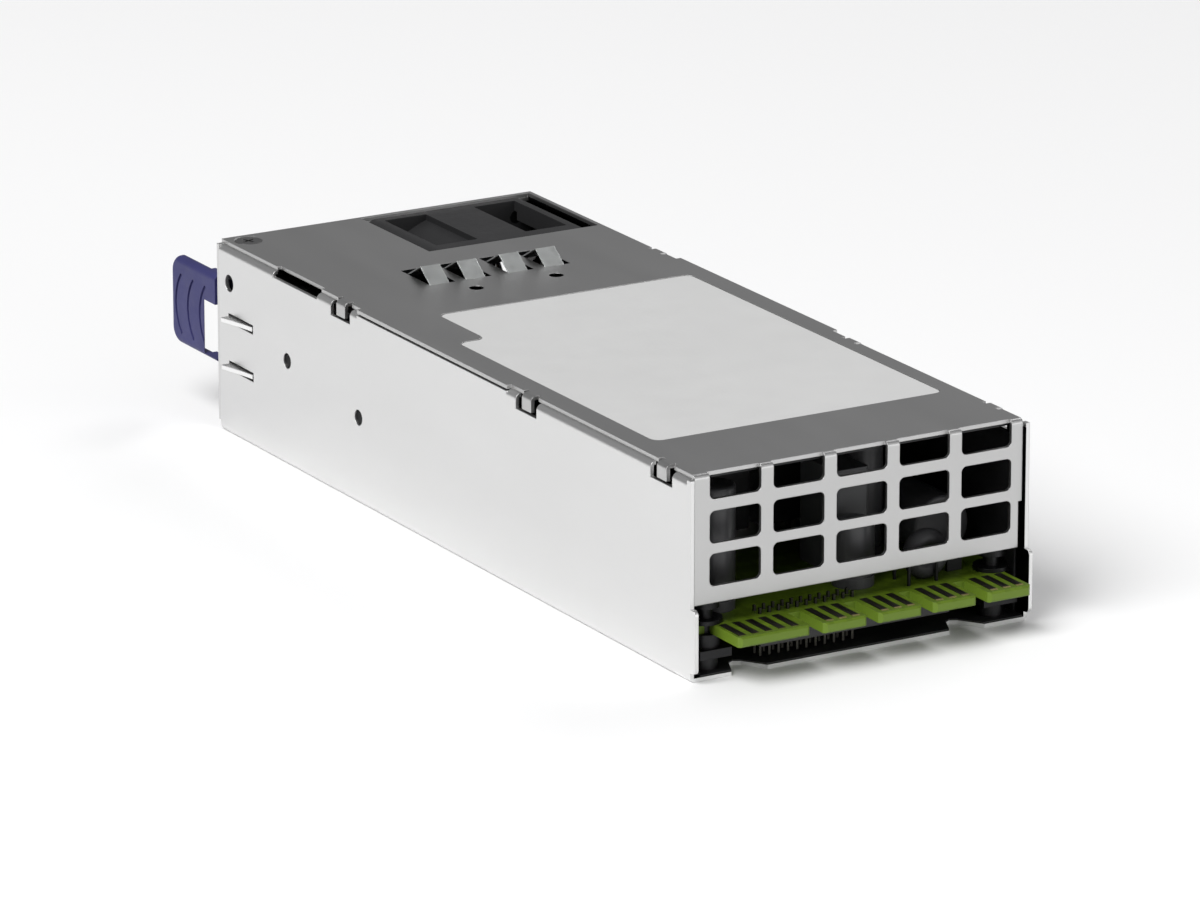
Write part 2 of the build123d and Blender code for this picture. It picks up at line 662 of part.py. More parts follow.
def chassis():
    """Folded floor and side walls."""
    shell = block(LEFT_OUT, RIGHT_OUT, 0, REAR_IN, 0, ROOF)
    shell = fillet(shell.edges().filter_by(Axis.Y).sort_by(Axis.Z)[:2], CASE_BEND)
    room = block(LEFT_IN, RIGHT_IN, -BEYOND, CASE_LENGTH, FLOOR, CASE_HEIGHT)
    room = fillet(room.edges().filter_by(Axis.Y).sort_by(Axis.Z)[:2], CASE_BEND - SHEET)
    shell = shell - room
    lips = []
    for y0, y1 in lip_spans():
        trim = block(LEFT_OUT - BEYOND, LEFT_IN, y0, y1, ROOF - 2 * LIP_BEND, ROOF + BEYOND)
        shell = shell - trim - mirrored(trim)
        lips.append(wall_lip(y0, y1))
    shell = join([shell] + lips + [mirrored(lip) for lip in lips] + [cheek(), mirrored(cheek())])
    notches, lowered = wall_top_cutters()
    shell = shell - notches - mirrored(notches) - lowered
    for centre in FLOOR_NOTCH_CENTRES:
        shell = shell - floor_notch(centre, -BEYOND, FLOOR + BEYOND)
    for height in BARB_HEIGHTS:
        shell = shell - barb_slot(height)
    rivet_hole = RIVET_RADIUS + RIVET_HOLE_GAP
    for y, z in RIVETS:
        shell = shell - rod_along_x(y, z, LEFT_OUT - BEYOND, LEFT_IN + BEYOND, rivet_hole)
    spare = rod_along_x(SPARE_HOLE_Y, SPARE_HOLE_Z, LEFT_OUT - BEYOND, LEFT_IN + BEYOND, SPARE_HOLE_RADIUS)
    return shell - spare


def grille_slots():
    """Windows in the bent-down front of the cover."""
    near = COVER_SETBACK - BEYOND
    far = COVER_SETBACK + SHEET + BEYOND
    slots = []
    for column in range(GRILLE_COLUMNS):
        x0 = -COVER_EDGE + GRILLE_LEFT_MARGIN + column * (GRILLE_SLOT_WIDTH + GRILLE_BAR)
        x1 = x0 + GRILLE_SLOT_WIDTH
        for row in range(2):
            z0 = GRILLE_ROW_BOTTOM + row * (GRILLE_SLOT_HEIGHT + GRILLE_ROW_BAR)
            slots.append(rounded_plate(x0, x1, z0, z0 + GRILLE_SLOT_HEIGHT, near, far, GRILLE_CORNER))
        top_far = COVER_SETBACK + GRILLE_TOP_CUT
        top = block(x0, x1, near, top_far, GRILLE_TOP_SLOT_BOTTOM, CASE_HEIGHT + BEYOND)
        slots.append(fillet(top.edges().filter_by(Axis.Y).sort_by(Axis.Z)[:2], GRILLE_CORNER))
    return slots


def hook(centre):
    """Hook on the left edge of the cover that drops into a wall notch."""
    y0 = centre - HOOK_WIDTH / 2
    y1 = centre + HOOK_WIDTH / 2
    outside = LEFT_OUT + COVER_SIDE_INSET
    bend = block(outside, -COVER_EDGE + BEYOND, y0, y1, CASE_HEIGHT - HOOK_DROP, CASE_HEIGHT)
    bend = fillet(bend.edges().filter_by(Axis.Y).sort_by(Axis.X)[:2].sort_by(Axis.Z)[-1], COVER_BEND)
    return bend - block(outside + SHEET, 0, y0, y1, 0, ROOF)


def hook_reliefs(centre):
    """Bend reliefs beside a hook."""
    reliefs = []
    for side in (-1, 1):
        y = centre + side * (HOOK_WIDTH + HOOK_RELIEF) / 2
        x1 = -COVER_EDGE + TOP_SLOT_DEPTH
        half = HOOK_RELIEF / 2
        reliefs.append(block(LEFT_OUT, x1, y - half, y + half, 0, CASE_HEIGHT + BEYOND))
    return reliefs


def label_outline(margin):
    """Label outline, pulled in from the recess by a margin."""
    return [
        (LABEL_LEFT + margin, LABEL_NEAR + margin),
        (LABEL_RIGHT - margin, LABEL_NEAR + margin),
        (LABEL_RIGHT - margin, LABEL_FAR - margin),
        (LABEL_LEFT + LABEL_STEP_WIDTH + margin, LABEL_FAR - margin),
        (LABEL_LEFT + LABEL_STEP_WIDTH + margin, LABEL_FAR - LABEL_STEP_LENGTH - margin),
        (LABEL_LEFT + margin, LABEL_FAR - LABEL_STEP_LENGTH - margin),
    ]


def label_plate(margin, z0, z1):
    """Label shape with round corners."""
    plate = plate_outline(label_outline(margin), z0, z1)
    return fillet(plate.edges().filter_by(Axis.Z), LABEL_CORNER - margin)


def cover_screw_place():
    """X and Y of the cover screw."""
    return LEFT_OUT + COVER_SCREW_INSET, CASE_LENGTH - COVER_SCREW_FROM_REAR


def cover():
    """Folded cover with its grille, hooks and cut-outs."""
    top = block(-COVER_EDGE, COVER_EDGE, COVER_SETBACK, CASE_LENGTH, ROOF, CASE_HEIGHT)
    front_in = COVER_SETBACK + SHEET
    front = block(-COVER_EDGE, COVER_EDGE, COVER_SETBACK, front_in, GRILLE_BOTTOM, CASE_HEIGHT)
    body = top + front
    bend_edge = body.edges().filter_by(Axis.X).sort_by(Axis.Y)[:2].sort_by(Axis.Z)[-1]
    body = fillet(bend_edge, COVER_BEND)
    step_top = GRILLE_BOTTOM + GRILLE_STEP
    step = block(COVER_EDGE - SHEET, RIGHT_OUT, -BEYOND, front_in + BEYOND, 0, step_top)
    body = body - step
    for slot in grille_slots():
        body = body - slot
    for centre in HOOK_CENTRES:
        for relief in hook_reliefs(centre):
            body = body - relief - mirrored(relief)
        body = body + hook(centre) + mirrored(hook(centre))
    flap = block(LEFT_OUT + COVER_SIDE_INSET, -COVER_EDGE, *PLAIN_WALL_SPANS[0], ROOF, CASE_HEIGHT)
    body = body + flap + mirrored(flap)
    slot_x = -COVER_EDGE + TOP_SLOT_DEPTH
    body = body - block(LEFT_OUT, slot_x, TOP_SLOT_START, TOP_SLOT_END, 0, CASE_HEIGHT + BEYOND)
    cut_left = FAN_X - FAN_SIZE / 2 - FAN_CUTOUT_GAP
    cut_right = FAN_X + FAN_SIZE / 2 + FAN_CUTOUT_GAP
    body = body - block(cut_left, cut_right, FAN_NEAR - FAN_CUTOUT_GAP, REAR_IN, 0, CASE_HEIGHT + BEYOND)
    body = body - label_plate(0, CASE_HEIGHT - LABEL_RECESS, CASE_HEIGHT + BEYOND)
    for start in FINGER_STARTS:
        end = start + FINGER_SLOT_WIDTH
        body = body - block(start, end, FINGER_NEAR, FINGER_FAR, 0, CASE_HEIGHT + BEYOND)
    for side in (-1, 1):
        x = side * COVER_HOLE_SPACING / 2
        body = body - post(x, COVER_HOLE_Y, 0, CASE_HEIGHT + BEYOND, COVER_HOLE_RADIUS)
    screw_x, screw_y = cover_screw_place()
    body = body - post(screw_x, screw_y, 0, CASE_HEIGHT + BEYOND, COVER_SCREW_RADIUS)
    body = body - countersink(screw_x, screw_y, 0)
    return body + rear_tab()


def rear_tab():
    """Small tab bent down over the rear panel."""
    x0 = LEFT_OUT + REAR_TAB_INSET - REAR_TAB_WIDTH / 2
    x1 = x0 + REAR_TAB_WIDTH
    tab = block(x0, x1, CASE_LENGTH - BEYOND, CASE_LENGTH + SHEET, CASE_HEIGHT - REAR_TAB_DROP, CASE_HEIGHT)
    tab = fillet(tab.edges().filter_by(Axis.X).sort_by(Axis.Y)[-2:].sort_by(Axis.Z)[-1], COVER_BEND - 0.1)
    return tab - block(x0, x1, 0, CASE_LENGTH, 0, ROOF)


def countersink(x, y, gap):
    """Cone for the cover screw's flat head, less a gap round its rim."""
    height = COVER_SCREW_HEAD_RADIUS - COVER_SCREW_RADIUS
    cone = Cone(COVER_SCREW_RADIUS, COVER_SCREW_HEAD_RADIUS - gap, height)
    return Pos(x, y, CASE_HEIGHT - height / 2) * cone


def cross_recess(size, width, depth):
    """Cross-shaped driver recess, centred on the origin, open upwards."""
    bar = Pos(0, 0, -depth / 2) * Box(size, width, depth)
    return bar + Rot(0, 0, 90) * bar


def cover_screw():
    """Flat-head screw that holds the cover to the rear panel's ear."""
    x, y = cover_screw_place()
    shank = post(x, y, CASE_HEIGHT - COVER_SCREW_LENGTH, CASE_HEIGHT - 0.5, COVER_SCREW_RADIUS)
    recess = Pos(x, y, CASE_HEIGHT) * Rot(0, 0, 20) * cross_recess(2.9, 0.6, 0.8)
    return shank + countersink(x, y, COVER_SCREW_HEAD_GAP) - recess


def label():
    """Blank label in the cover's recess."""
    bottom = CASE_HEIGHT - LABEL_RECESS
    return label_plate(LABEL_GAP, bottom, bottom + LABEL_THICKNESS)


def finger_path():
    """Middle line of one spring finger from the strip to its free end, as Y and Z points."""
    crest = CASE_HEIGHT + FINGER_RISE
    flat = ROOF - FINGER_THICKNESS / 2
    return [
        (FINGER_FAR + 1.2, flat),
        (FINGER_FAR - 1.4, flat),
        (FINGER_RIDGE + 0.7, crest - 0.25),
        (FINGER_RIDGE, crest),
        (FINGER_RIDGE - 0.7, crest - 0.5),
        (FINGER_NEAR + 0.3, CASE_HEIGHT - 0.3),
        (FINGER_NEAR + 0.9, ROOF),
    ]


def finger(x):
    """One folded spring finger."""
    upright = Plane.YZ * trace(Polyline(*finger_path()), FINGER_THICKNESS)
    return Pos(x + FINGER_SIDE_GAP, 0, 0) * extrude(upright, FINGER_WIDTH)


def contact_fingers():
    """Strip under the cover with four spring fingers through its slots."""
    strip_left = FINGER_STARTS[0] - FINGER_STRIP_MARGIN
    strip_right = FINGER_STARTS[-1] + FINGER_SLOT_WIDTH + FINGER_STRIP_MARGIN
    strip = block(strip_left, strip_right, FINGER_FAR, FINGER_FAR + 3.5, ROOF - FINGER_THICKNESS, ROOF)
    return join([strip] + [finger(x) for x in FINGER_STARTS])


# Linings
def lining_tray():
    """Insulating sheet on the floor and up both sides."""
    left = LEFT_IN + LEFT_LINING_INSET
    floor = block(left, RIGHT_IN, 0.2, LINING_REAR, FLOOR, LINED_FLOOR)
    right_side = block(RIGHT_IN - LINING, RIGHT_IN, TAB_ROOT + 2.8, LINING_REAR, FLOOR, LINING_HEIGHT)
    left_side = block(left, left + LINING, TAB_ROOT + 2.8, LINING_REAR, FLOOR, LINING_HEIGHT)
    tray = join([floor, right_side, left_side])
    for centre in FLOOR_NOTCH_CENTRES:
        tray = tray - floor_notch(centre, 0, LINED_FLOOR + BEYOND)
    washer_room = WASHER_RADIUS + WASHER_GAP
    washer_top = BOARD_TOP + WASHER_THICKNESS
    for x, y in SUPPORTS:
        tray = tray - post(x, y, 0, LINED_FLOOR + BEYOND, SUPPORT_RADIUS)
        tray = tray - post(x, y, BOARD_TOP - WASHER_GAP, washer_top + WASHER_GAP, washer_room)
    return tray


def lining_lid():
    """Insulating sheet under the cover, ahead of the contact fingers."""
    top = ROOF - LID_LINING_GAP
    far = COVER_HOLE_Y - 2 * COVER_HOLE_RADIUS
    edge = COVER_EDGE - LIP_WIDTH
    sheet = block(-edge, edge, COVER_SETBACK + 2.0, far, top - LINING, top)
    pads = []
    pad_x = edge - LID_PAD_INSET
    for x in (-pad_x, pad_x):
        for y in (LID_PAD_FROM_END, far - LID_PAD_FROM_END):
            pads.append(post(x, y, top, ROOF, LID_PAD_RADIUS))
    return join([sheet] + pads)


# Main board
def power_tab_starts():
    """Left edge of each wide tab after the signal tab."""
    first = -BOARD_EDGE + TABS_LEFT + TAB_GAP
    return [first + index * (TAB_WIDTH + TAB_GAP) for index in range(POWER_TABS)]


def board_tab(x, width, reach):
    """One plug-in tab of the board with chamfered corners and bevelled edges."""
    tab = block(x, x + width, -reach, BOARD_FRONT + 0.5, BOARD_BOTTOM, BOARD_TOP)
    front = tab.edges().filter_by(Axis.Z).sort_by(Axis.Y)[:2]
    tab = chamfer(front, TAB_CHAMFER)
    nose = tab.edges().filter_by(Axis.X).sort_by(Axis.Y)[:2]
    return chamfer(nose, TAB_BEVEL)


def main_board():
    """Circuit board with five plug-in tabs."""
    body = block(-BOARD_EDGE, BOARD_EDGE, BOARD_FRONT, BOARD_REAR, BOARD_BOTTOM, BOARD_TOP)
    signal_x = -BOARD_EDGE + SIGNAL_TAB_INSET
    last = power_tab_starts()[-1] + TAB_WIDTH
    web = block(signal_x, last, TAB_ROOT, BOARD_FRONT, BOARD_BOTTOM, BOARD_TOP)
    tabs = [board_tab(signal_x, SIGNAL_TAB_WIDTH, SIGNAL_TAB_REACH)]
    for x in power_tab_starts():
        tabs.append(board_tab(x, TAB_WIDTH, TAB_REACH))
    board = join([body, web] + tabs)
    for x, y in SUPPORTS:
        board = board - post(x, y, 0, CASE_HEIGHT, BOARD_SCREW_RADIUS)
    for x, y in header_places():
        board = board - post(x, y, 0, CASE_HEIGHT, HEADER_PIN * 0.75)
    return board


def contact_row(x, count, reach):
    """Contacts on both faces of one tab."""
    strips = []
    for index in range(count):
        x0 = x + index * CONTACT_PITCH
        x1 = x0 + CONTACT_WIDTH
        y0 = -reach + CONTACT_SETBACK
        strips.append(block(x0, x1, y0, CONTACT_END, BOARD_TOP, BOARD_TOP + CONTACT_THICKNESS))
        strips.append(block(x0, x1, y0, CONTACT_END, BOARD_BOTTOM - CONTACT_THICKNESS, BOARD_BOTTOM))
    return strips


def edge_contacts():
    """Plated contacts on the plug-in tabs."""
    signal_x = -BOARD_EDGE + SIGNAL_TAB_INSET + SIGNAL_CONTACT_INSET
    strips = contact_row(signal_x, SIGNAL_CONTACTS, SIGNAL_TAB_REACH)
    for x in power_tab_starts():
        strips += contact_row(x + POWER_CONTACT_INSET, POWER_CONTACTS, TAB_REACH)
    return group(strips)


def header_places():
    """X and Y of each header pin."""
    places = []
    for row in range(2):
        for column in range(HEADER_COLUMNS):
            places.append((HEADER_FIRST_X + column * HEADER_PITCH, HEADER_FRONT + row * HEADER_PITCH))
    return places


def header_body():
    """Insulating bar under the board that holds the header pins."""
    y0 = HEADER_FRONT - HEADER_PITCH / 2
    y1 = HEADER_FRONT + 1.5 * HEADER_PITCH
    half = HEADER_BODY_WIDTH / 2
    bar = block(-half, half, y0, y1, HEADER_BODY_BOTTOM, BOARD_BOTTOM - CONTACT_THICKNESS)
    pin = HEADER_PIN / 2
    for x, y in header_places():
        bar = bar - block(x - pin, x + pin, y - pin, y + pin, 0, BOARD_TOP)
    return bar


def header_pins():
    """Square pins through the board and the bar."""
    pins = []
    for x, y in header_places():
        half = HEADER_PIN / 2
        top = BOARD_TOP + HEADER_PIN_RISE
        pins.append(block(x - half, x + half, y - half, y + half, HEADER_PIN_BOTTOM, top))
    return group(pins)


def board_supports():
    """Posts with square collars that carry the board."""
    posts = []
    for x, y in SUPPORTS:
        half = SUPPORT_COLLAR / 2
        collar_top = SUPPORT_COLLAR_BOTTOM + SUPPORT_COLLAR_THICKNESS
        foot = post(x, y, FLOOR, SUPPORT_COLLAR_BOTTOM, SUPPORT_RADIUS)
        x0 = max(x - half, LEFT_IN + LEFT_LINING_INSET + LINING)
        x1 = min(x + half, RIGHT_IN - LINING)
        collar = block(x0, x1, y - half, y + half, SUPPORT_COLLAR_BOTTOM, collar_top)
        spacer = post(x, y, collar_top, BOARD_BOTTOM, SPACER_RADIUS)
        support = join([foot, collar, spacer])
        posts.append(support - post(x, y, SUPPORT_COLLAR_BOTTOM, BOARD_TOP, BOARD_SCREW_RADIUS))
    return group(posts)


def board_washers():
    """Washers between the board and its screws."""
    washers = []
    for x, y in SUPPORTS:
        ring = post(x, y, BOARD_TOP, BOARD_TOP + WASHER_THICKNESS, WASHER_RADIUS)
        washers.append(ring - post(x, y, BOARD_TOP, BOARD_TOP + WASHER_THICKNESS, BOARD_SCREW_RADIUS))
    return group(washers)


def board_screws():
    """Shouldered screws that hold the board on its supports."""
    screws = []
    for x, y in SUPPORTS:
        head_bottom = BOARD_TOP + WASHER_THICKNESS + BOARD_SCREW_NECK
        head_top = head_bottom + BOARD_SCREW_HEAD_HEIGHT
        shank = post(x, y, SUPPORT_COLLAR_BOTTOM, head_bottom, BOARD_SCREW_RADIUS)
        head = post(x, y, head_bottom, head_top, BOARD_SCREW_HEAD_RADIUS)
        head = fillet(head.edges().filter_by(GeomType.CIRCLE).sort_by(Axis.Z)[-1], 0.6)
        screws.append(shank + head - Pos(x, y, head_top) * cross_recess(2.8, 0.6, 0.9))
    return group(screws)


# Rear panel
def latch_slot():
    """X span of the rear panel's opening for the latch arms."""
    return LEFT_IN, LEFT_IN + LATCH_SLOT_WIDTH


def fan_holes():
    """X and Z of the fan's four screws."""
    half = FAN_HOLE_PITCH / 2
    return [(FAN_X + sx * half, FAN_Z + sz * half) for sx in (-1, 1) for sz in (-1, 1)]


def rear_panel():
    """Panel that closes the mains end."""
    panel = block(LEFT_OUT, RIGHT_OUT, REAR_IN, CASE_LENGTH, PANEL_BOTTOM, ROOF)
    for side in (-1, 1):
        x = side * RIGHT_OUT
        panel = panel - block(x - SHEET, x + SHEET, REAR_IN, CASE_LENGTH, 0, PANEL_CORNER)
    foot_start = REAR_IN - PANEL_FOOT
    foot_left = INLET_X - PANEL_FOOT_WIDTH / 2
    foot = block(foot_left, foot_left + PANEL_FOOT_WIDTH, foot_start, CASE_LENGTH, FLOOR, FLOOR + SHEET)
    ear_bottom = ROOF - SHEET
    ear_start = REAR_IN - PANEL_EAR_DEPTH
    ear_right = PANEL_EAR_LEFT + PANEL_EAR_WIDTH
    ear = block(PANEL_EAR_LEFT, ear_right, ear_start, CASE_LENGTH, ear_bottom, ROOF)
    panel = join([panel, foot, ear])
    screw_x, screw_y = cover_screw_place()
    panel = panel - post(screw_x, screw_y, ear_bottom, ROOF, COVER_SCREW_RADIUS)
    panel = panel - countersink(screw_x, screw_y, 0)
    panel = panel - rod_along_y(FAN_X, FAN_Z, REAR_IN, CASE_LENGTH, DUCT_RADIUS)
    for x, z in fan_holes():
        panel = panel - rod_along_y(x, z, REAR_IN, CASE_LENGTH, FAN_HOLE_RADIUS)
    x0, x1 = latch_slot()
    z0 = GRIP_BOTTOM - LATCH_SLOT_MARGIN
    panel = panel - block(x0, x1, REAR_IN, CASE_LENGTH, z0, GRIP_TOP + LATCH_SLOT_MARGIN)
    half_w = INLET_BODY_WIDTH / 2
    half_h = INLET_BODY_HEIGHT / 2
    hole = rounded_plate(
        INLET_X - half_w, INLET_X + half_w, INLET_Z - half_h, INLET_Z + half_h,
        REAR_IN, CASE_LENGTH, INLET_CORNER,
    )
    panel = panel - hole
    return panel - rod_along_y(LIGHT_X, LIGHT_Z, REAR_IN, CASE_LENGTH, LIGHT_RADIUS)


def status_light_pipe():
    """Light pipe pressed into the rear panel."""
    pipe = rod_along_y(LIGHT_X, LIGHT_Z, CASE_LENGTH - LIGHT_LENGTH, CASE_LENGTH, LIGHT_RADIUS)
    head = rod_along_y(LIGHT_X, LIGHT_Z, CASE_LENGTH, CASE_LENGTH + LIGHT_HEAD, LIGHT_HEAD_RADIUS)
    return pipe + fillet(head.edges().filter_by(GeomType.CIRCLE).sort_by(Axis.Y)[-1], LIGHT_HEAD * 0.6)


# Mains inlet
def inlet_housing():
    """Three-pole inlet, long side upright."""
    half_fw = INLET_FLANGE_WIDTH / 2
    half_fh = INLET_FLANGE_HEIGHT / 2
    half_w = INLET_BODY_WIDTH / 2
    half_h = INLET_BODY_HEIGHT / 2
    half_cw = INLET_CAVITY_WIDTH / 2
    half_ch = INLET_CAVITY_HEIGHT / 2
    face = CASE_LENGTH + INLET_FLANGE
    flange = rounded_plate(
        INLET_X - half_fw, INLET_X + half_fw, INLET_Z - half_fh, INLET_Z + half_fh, CASE_LENGTH, face, 2.0
    )
    body = rounded_plate(
        INLET_X - half_w, INLET_X + half_w, INLET_Z - half_h, INLET_Z + half_h,
        face - INLET_BODY_DEPTH, CASE_LENGTH, INLET_CORNER,
    )
    cavity = block(
        INLET_X - half_cw, INLET_X + half_cw, face - INLET_CAVITY_DEPTH, face + BEYOND,
        INLET_Z - half_ch, INLET_Z + half_ch,
    )
    corners = cavity.edges().filter_by(Axis.Y).sort_by(Axis.X)[-2:]
    cavity = chamfer(corners, INLET_CORNER)
    housing = flange + body - cavity
    for x0, x1, z0, z1 in inlet_pin_sections():
        housing = housing - block(x0, x1, face - INLET_BODY_DEPTH, face - INLET_CAVITY_DEPTH, z0, z1)
    return housing


def inlet_pin_sections():
    """Cross-section of each inlet pin."""
    sections = []
    for index in (-1, 0, 1):
        x = INLET_X - INLET_EARTH_OFFSET / 2
        if index == 0:
            x = INLET_X + INLET_EARTH_OFFSET / 2
        z = INLET_Z + index * INLET_PIN_SPACING
        half_w = INLET_PIN_WIDTH / 2
        half_t = INLET_PIN_THICKNESS / 2
        sections.append((x - half_w, x + half_w, z - half_t, z + half_t))
    return sections


def inlet_pin_ends():
    """Y of the inlet pins' tails and tips."""
    face = CASE_LENGTH + INLET_FLANGE
    return face - INLET_BODY_DEPTH - INLET_PIN_TAIL, face - INLET_PIN_RECESS


def inlet_pins():
    """Live, neutral and earth pins."""
    tail, tip = inlet_pin_ends()
    return group([block(x0, x1, tail, tip, z0, z1) for x0, x1, z0, z1 in inlet_pin_sections()])


def lead(points, radii, radius):
    """Round lead along straight runs and tangent arcs."""
    path = FilletPolyline(*points, radius=radii)
    section = Plane(origin=path @ 0, z_dir=path % 0) * Circle(radius)
    return sweep(section, path=path)


def inlet_leads():
    """Three leads from the inlet pins to the board."""
    tail = inlet_pin_ends()[0]
    foot_y = BOARD_REAR - INLET_LEAD_FROM_BOARD_REAR
    leads = []
    for index, (x0, x1, z0, z1) in enumerate(inlet_pin_sections()):
        x = (x0 + x1) / 2
        z = (z0 + z1) / 2
        foot_x = INLET_X + (index - 1) * INLET_LEAD_SPREAD
        points = [
            (x, tail, z),
            (x, tail - 5.0, z),
            (foot_x, foot_y, max(z, BOARD_TOP + INLET_LEAD_RISE)),
            (foot_x, foot_y, BOARD_TOP),
        ]
        leads.append(lead(points, 2.0, INLET_LEAD_RADIUS))
    return group(leads)


# Fan
def fan_frame():
    """Square fan housing around a round duct, with struts at the rear."""
    half = FAN_SIZE / 2
    frame = rounded_plate(
        FAN_X - half, FAN_X + half, FAN_Z - half, FAN_Z + half,
        FAN_NEAR, REAR_IN, FAN_CORNER,
    )
    window_start = FAN_NEAR + FAN_NEAR_FLANGE
    window_end = REAR_IN - FAN_FAR_FLANGE
    tube = rod_along_y(FAN_X, FAN_Z, FAN_NEAR, REAR_IN, DUCT_RADIUS + DUCT_WALL)
    pocket = block(
        FAN_WINDOW_INNER, FAN_WINDOW_OUTER, window_start, window_end,
        DUCT_RADIUS / 2, half + BEYOND,
    )
    pockets = pocket + mirrored(pocket)
    place = Pos(FAN_X, 0, FAN_Z)
    for quarter in range(4):
        frame = frame - (place * Rot(0, 90 * quarter, 0) * pockets - tube)
    frame = frame - rod_along_y(FAN_X, FAN_Z, FAN_NEAR, REAR_IN, DUCT_RADIUS)
    for x, z in fan_holes():
        frame = frame - rod_along_y(x, z, REAR_IN - FAN_SCREW_LENGTH, REAR_IN, FAN_HOLE_RADIUS)
    pieces = [frame]
    for index in range(FAN_STRUTS):
        strut = block(
            -FAN_STRUT_WIDTH / 2, FAN_STRUT_WIDTH / 2, REAR_IN - FAN_STRUT_DEPTH, REAR_IN,
            FAN_BASE_RADIUS - BEYOND, DUCT_RADIUS + DUCT_WALL / 2,
        )
        pieces.append(place * Rot(0, 30 + 360 / FAN_STRUTS * index, 0) * strut)
    pieces.append(rod_along_y(FAN_X, FAN_Z, REAR_IN - FAN_BASE_THICKNESS, REAR_IN, FAN_BASE_RADIUS))
    tube_outer = SHAFT_RADIUS + BEARING_WALL + BEARING_TUBE_WALL
    pieces.append(rod_along_y(FAN_X, FAN_Z, bearing_tube_start(), REAR_IN, tube_outer))
    frame = join(pieces)
    bore = rod_along_y(
        FAN_X, FAN_Z, bearing_tube_start(), REAR_IN - FAN_BASE_THICKNESS / 2, SHAFT_RADIUS + BEARING_WALL
    )
    return frame - bore


def hub_start():
    """Y of the hub's closed face."""
    return FAN_NEAR + HUB_FRONT


def bearing_tube_start():
    """Y of the bearing tube's open end."""
    return hub_start() + HUB_FACE + 1.6


def fan_bearings():
    """Two sleeve bearings in the fan's bearing tube."""
    first = bearing_tube_start()
    last = REAR_IN - FAN_BASE_THICKNESS / 2 - BEARING_LENGTH - 1.0
    rings = []
    for y in (first, last):
        end = y + BEARING_LENGTH
        ring = rod_along_y(FAN_X, FAN_Z, y, end, SHAFT_RADIUS + BEARING_WALL)
        rings.append(ring - rod_along_y(FAN_X, FAN_Z, y, end, SHAFT_RADIUS + SHAFT_RUNNING_GAP))
    return group(rings)


def fan_stator():
    """Wound stator on the bearing tube."""
    y0 = bearing_tube_start() + 2.5
    ring = rod_along_y(FAN_X, FAN_Z, y0, y0 + STATOR_LENGTH, STATOR_RADIUS)
    bore = SHAFT_RADIUS + BEARING_WALL + BEARING_TUBE_WALL
    ring = ring - rod_along_y(FAN_X, FAN_Z, y0, y0 + STATOR_LENGTH, bore)
    slot = block(
        -STATOR_SLOT_WIDTH / 2, STATOR_SLOT_WIDTH / 2, y0 - BEYOND, y0 + STATOR_LENGTH + BEYOND,
        bore + BEYOND, STATOR_RADIUS + BEYOND,
    )
    for index in range(STATOR_SLOTS):
        ring = ring - Pos(FAN_X, 0, FAN_Z) * Rot(0, 45 + 360 / STATOR_SLOTS * index, 0) * slot
    return ring


def fan_shaft():
    """Shaft pressed into the hub's boss."""
    end = REAR_IN - FAN_BASE_THICKNESS / 2 - 0.4
    return rod_along_y(FAN_X, FAN_Z, hub_start() + HUB_FACE / 2, end, SHAFT_RADIUS)


def fan_magnet():
    """Ring magnet inside the hub."""
    outer = HUB_RADIUS - HUB_WALL
    y0 = hub_start() + HUB_FACE + 2.6
    ring = rod_along_y(FAN_X, FAN_Z, y0, y0 + MAGNET_LENGTH, outer)
    return ring - rod_along_y(FAN_X, FAN_Z, y0, y0 + MAGNET_LENGTH, outer - MAGNET_THICKNESS)


def blade():
    """One twisted blade standing on the hub at the top, before it is turned into place."""
    inner = HUB_RADIUS - HUB_WALL / 2
    outer = DUCT_RADIUS - BLADE_TIP_GAP
    start = hub_start() + 1.5
    shear = BLADE_LENGTH * math.tan(math.radians(BLADE_TWIST))
    outline = [
        (-shear / 2, start),
        (-shear / 2 + BLADE_THICKNESS, start),
        (-shear / 8 + BLADE_THICKNESS, start + BLADE_LENGTH / 2),
        (shear / 2 + BLADE_THICKNESS, start + BLADE_LENGTH),
        (shear / 2, start + BLADE_LENGTH),
        (-shear / 8, start + BLADE_LENGTH / 2),
    ]
    sheet = plate_outline(outline, inner - 2.0, outer)
    ring = Rot(90, 0, 0) * (Cylinder(outer, 4 * BLADE_LENGTH) - Cylinder(inner, 4 * BLADE_LENGTH))
    return sheet & (Pos(0, start, 0) * ring)


def fan_rotor():
    """Hub cup with its blades."""
    y0 = hub_start()
    cup = rod_along_y(FAN_X, FAN_Z, y0, y0 + HUB_LENGTH, HUB_RADIUS)
    cup = fillet(cup.edges().filter_by(GeomType.CIRCLE).sort_by(Axis.Y)[0], 0.8)
    cup = cup - rod_along_y(FAN_X, FAN_Z, y0 + HUB_FACE, y0 + HUB_LENGTH, HUB_RADIUS - HUB_WALL)
    boss = rod_along_y(FAN_X, FAN_Z, y0 + HUB_FACE / 2, y0 + HUB_FACE + 1.2, SHAFT_RADIUS + 1.4)
    pieces = [cup, boss]
    for index in range(BLADES):
        pieces.append(Pos(FAN_X, 0, FAN_Z) * Rot(0, 360 / BLADES * index, 0) * blade())
    rotor = join(pieces)
    return rotor - rod_along_y(FAN_X, FAN_Z, y0 + HUB_FACE / 2, y0 + HUB_LENGTH, SHAFT_RADIUS)


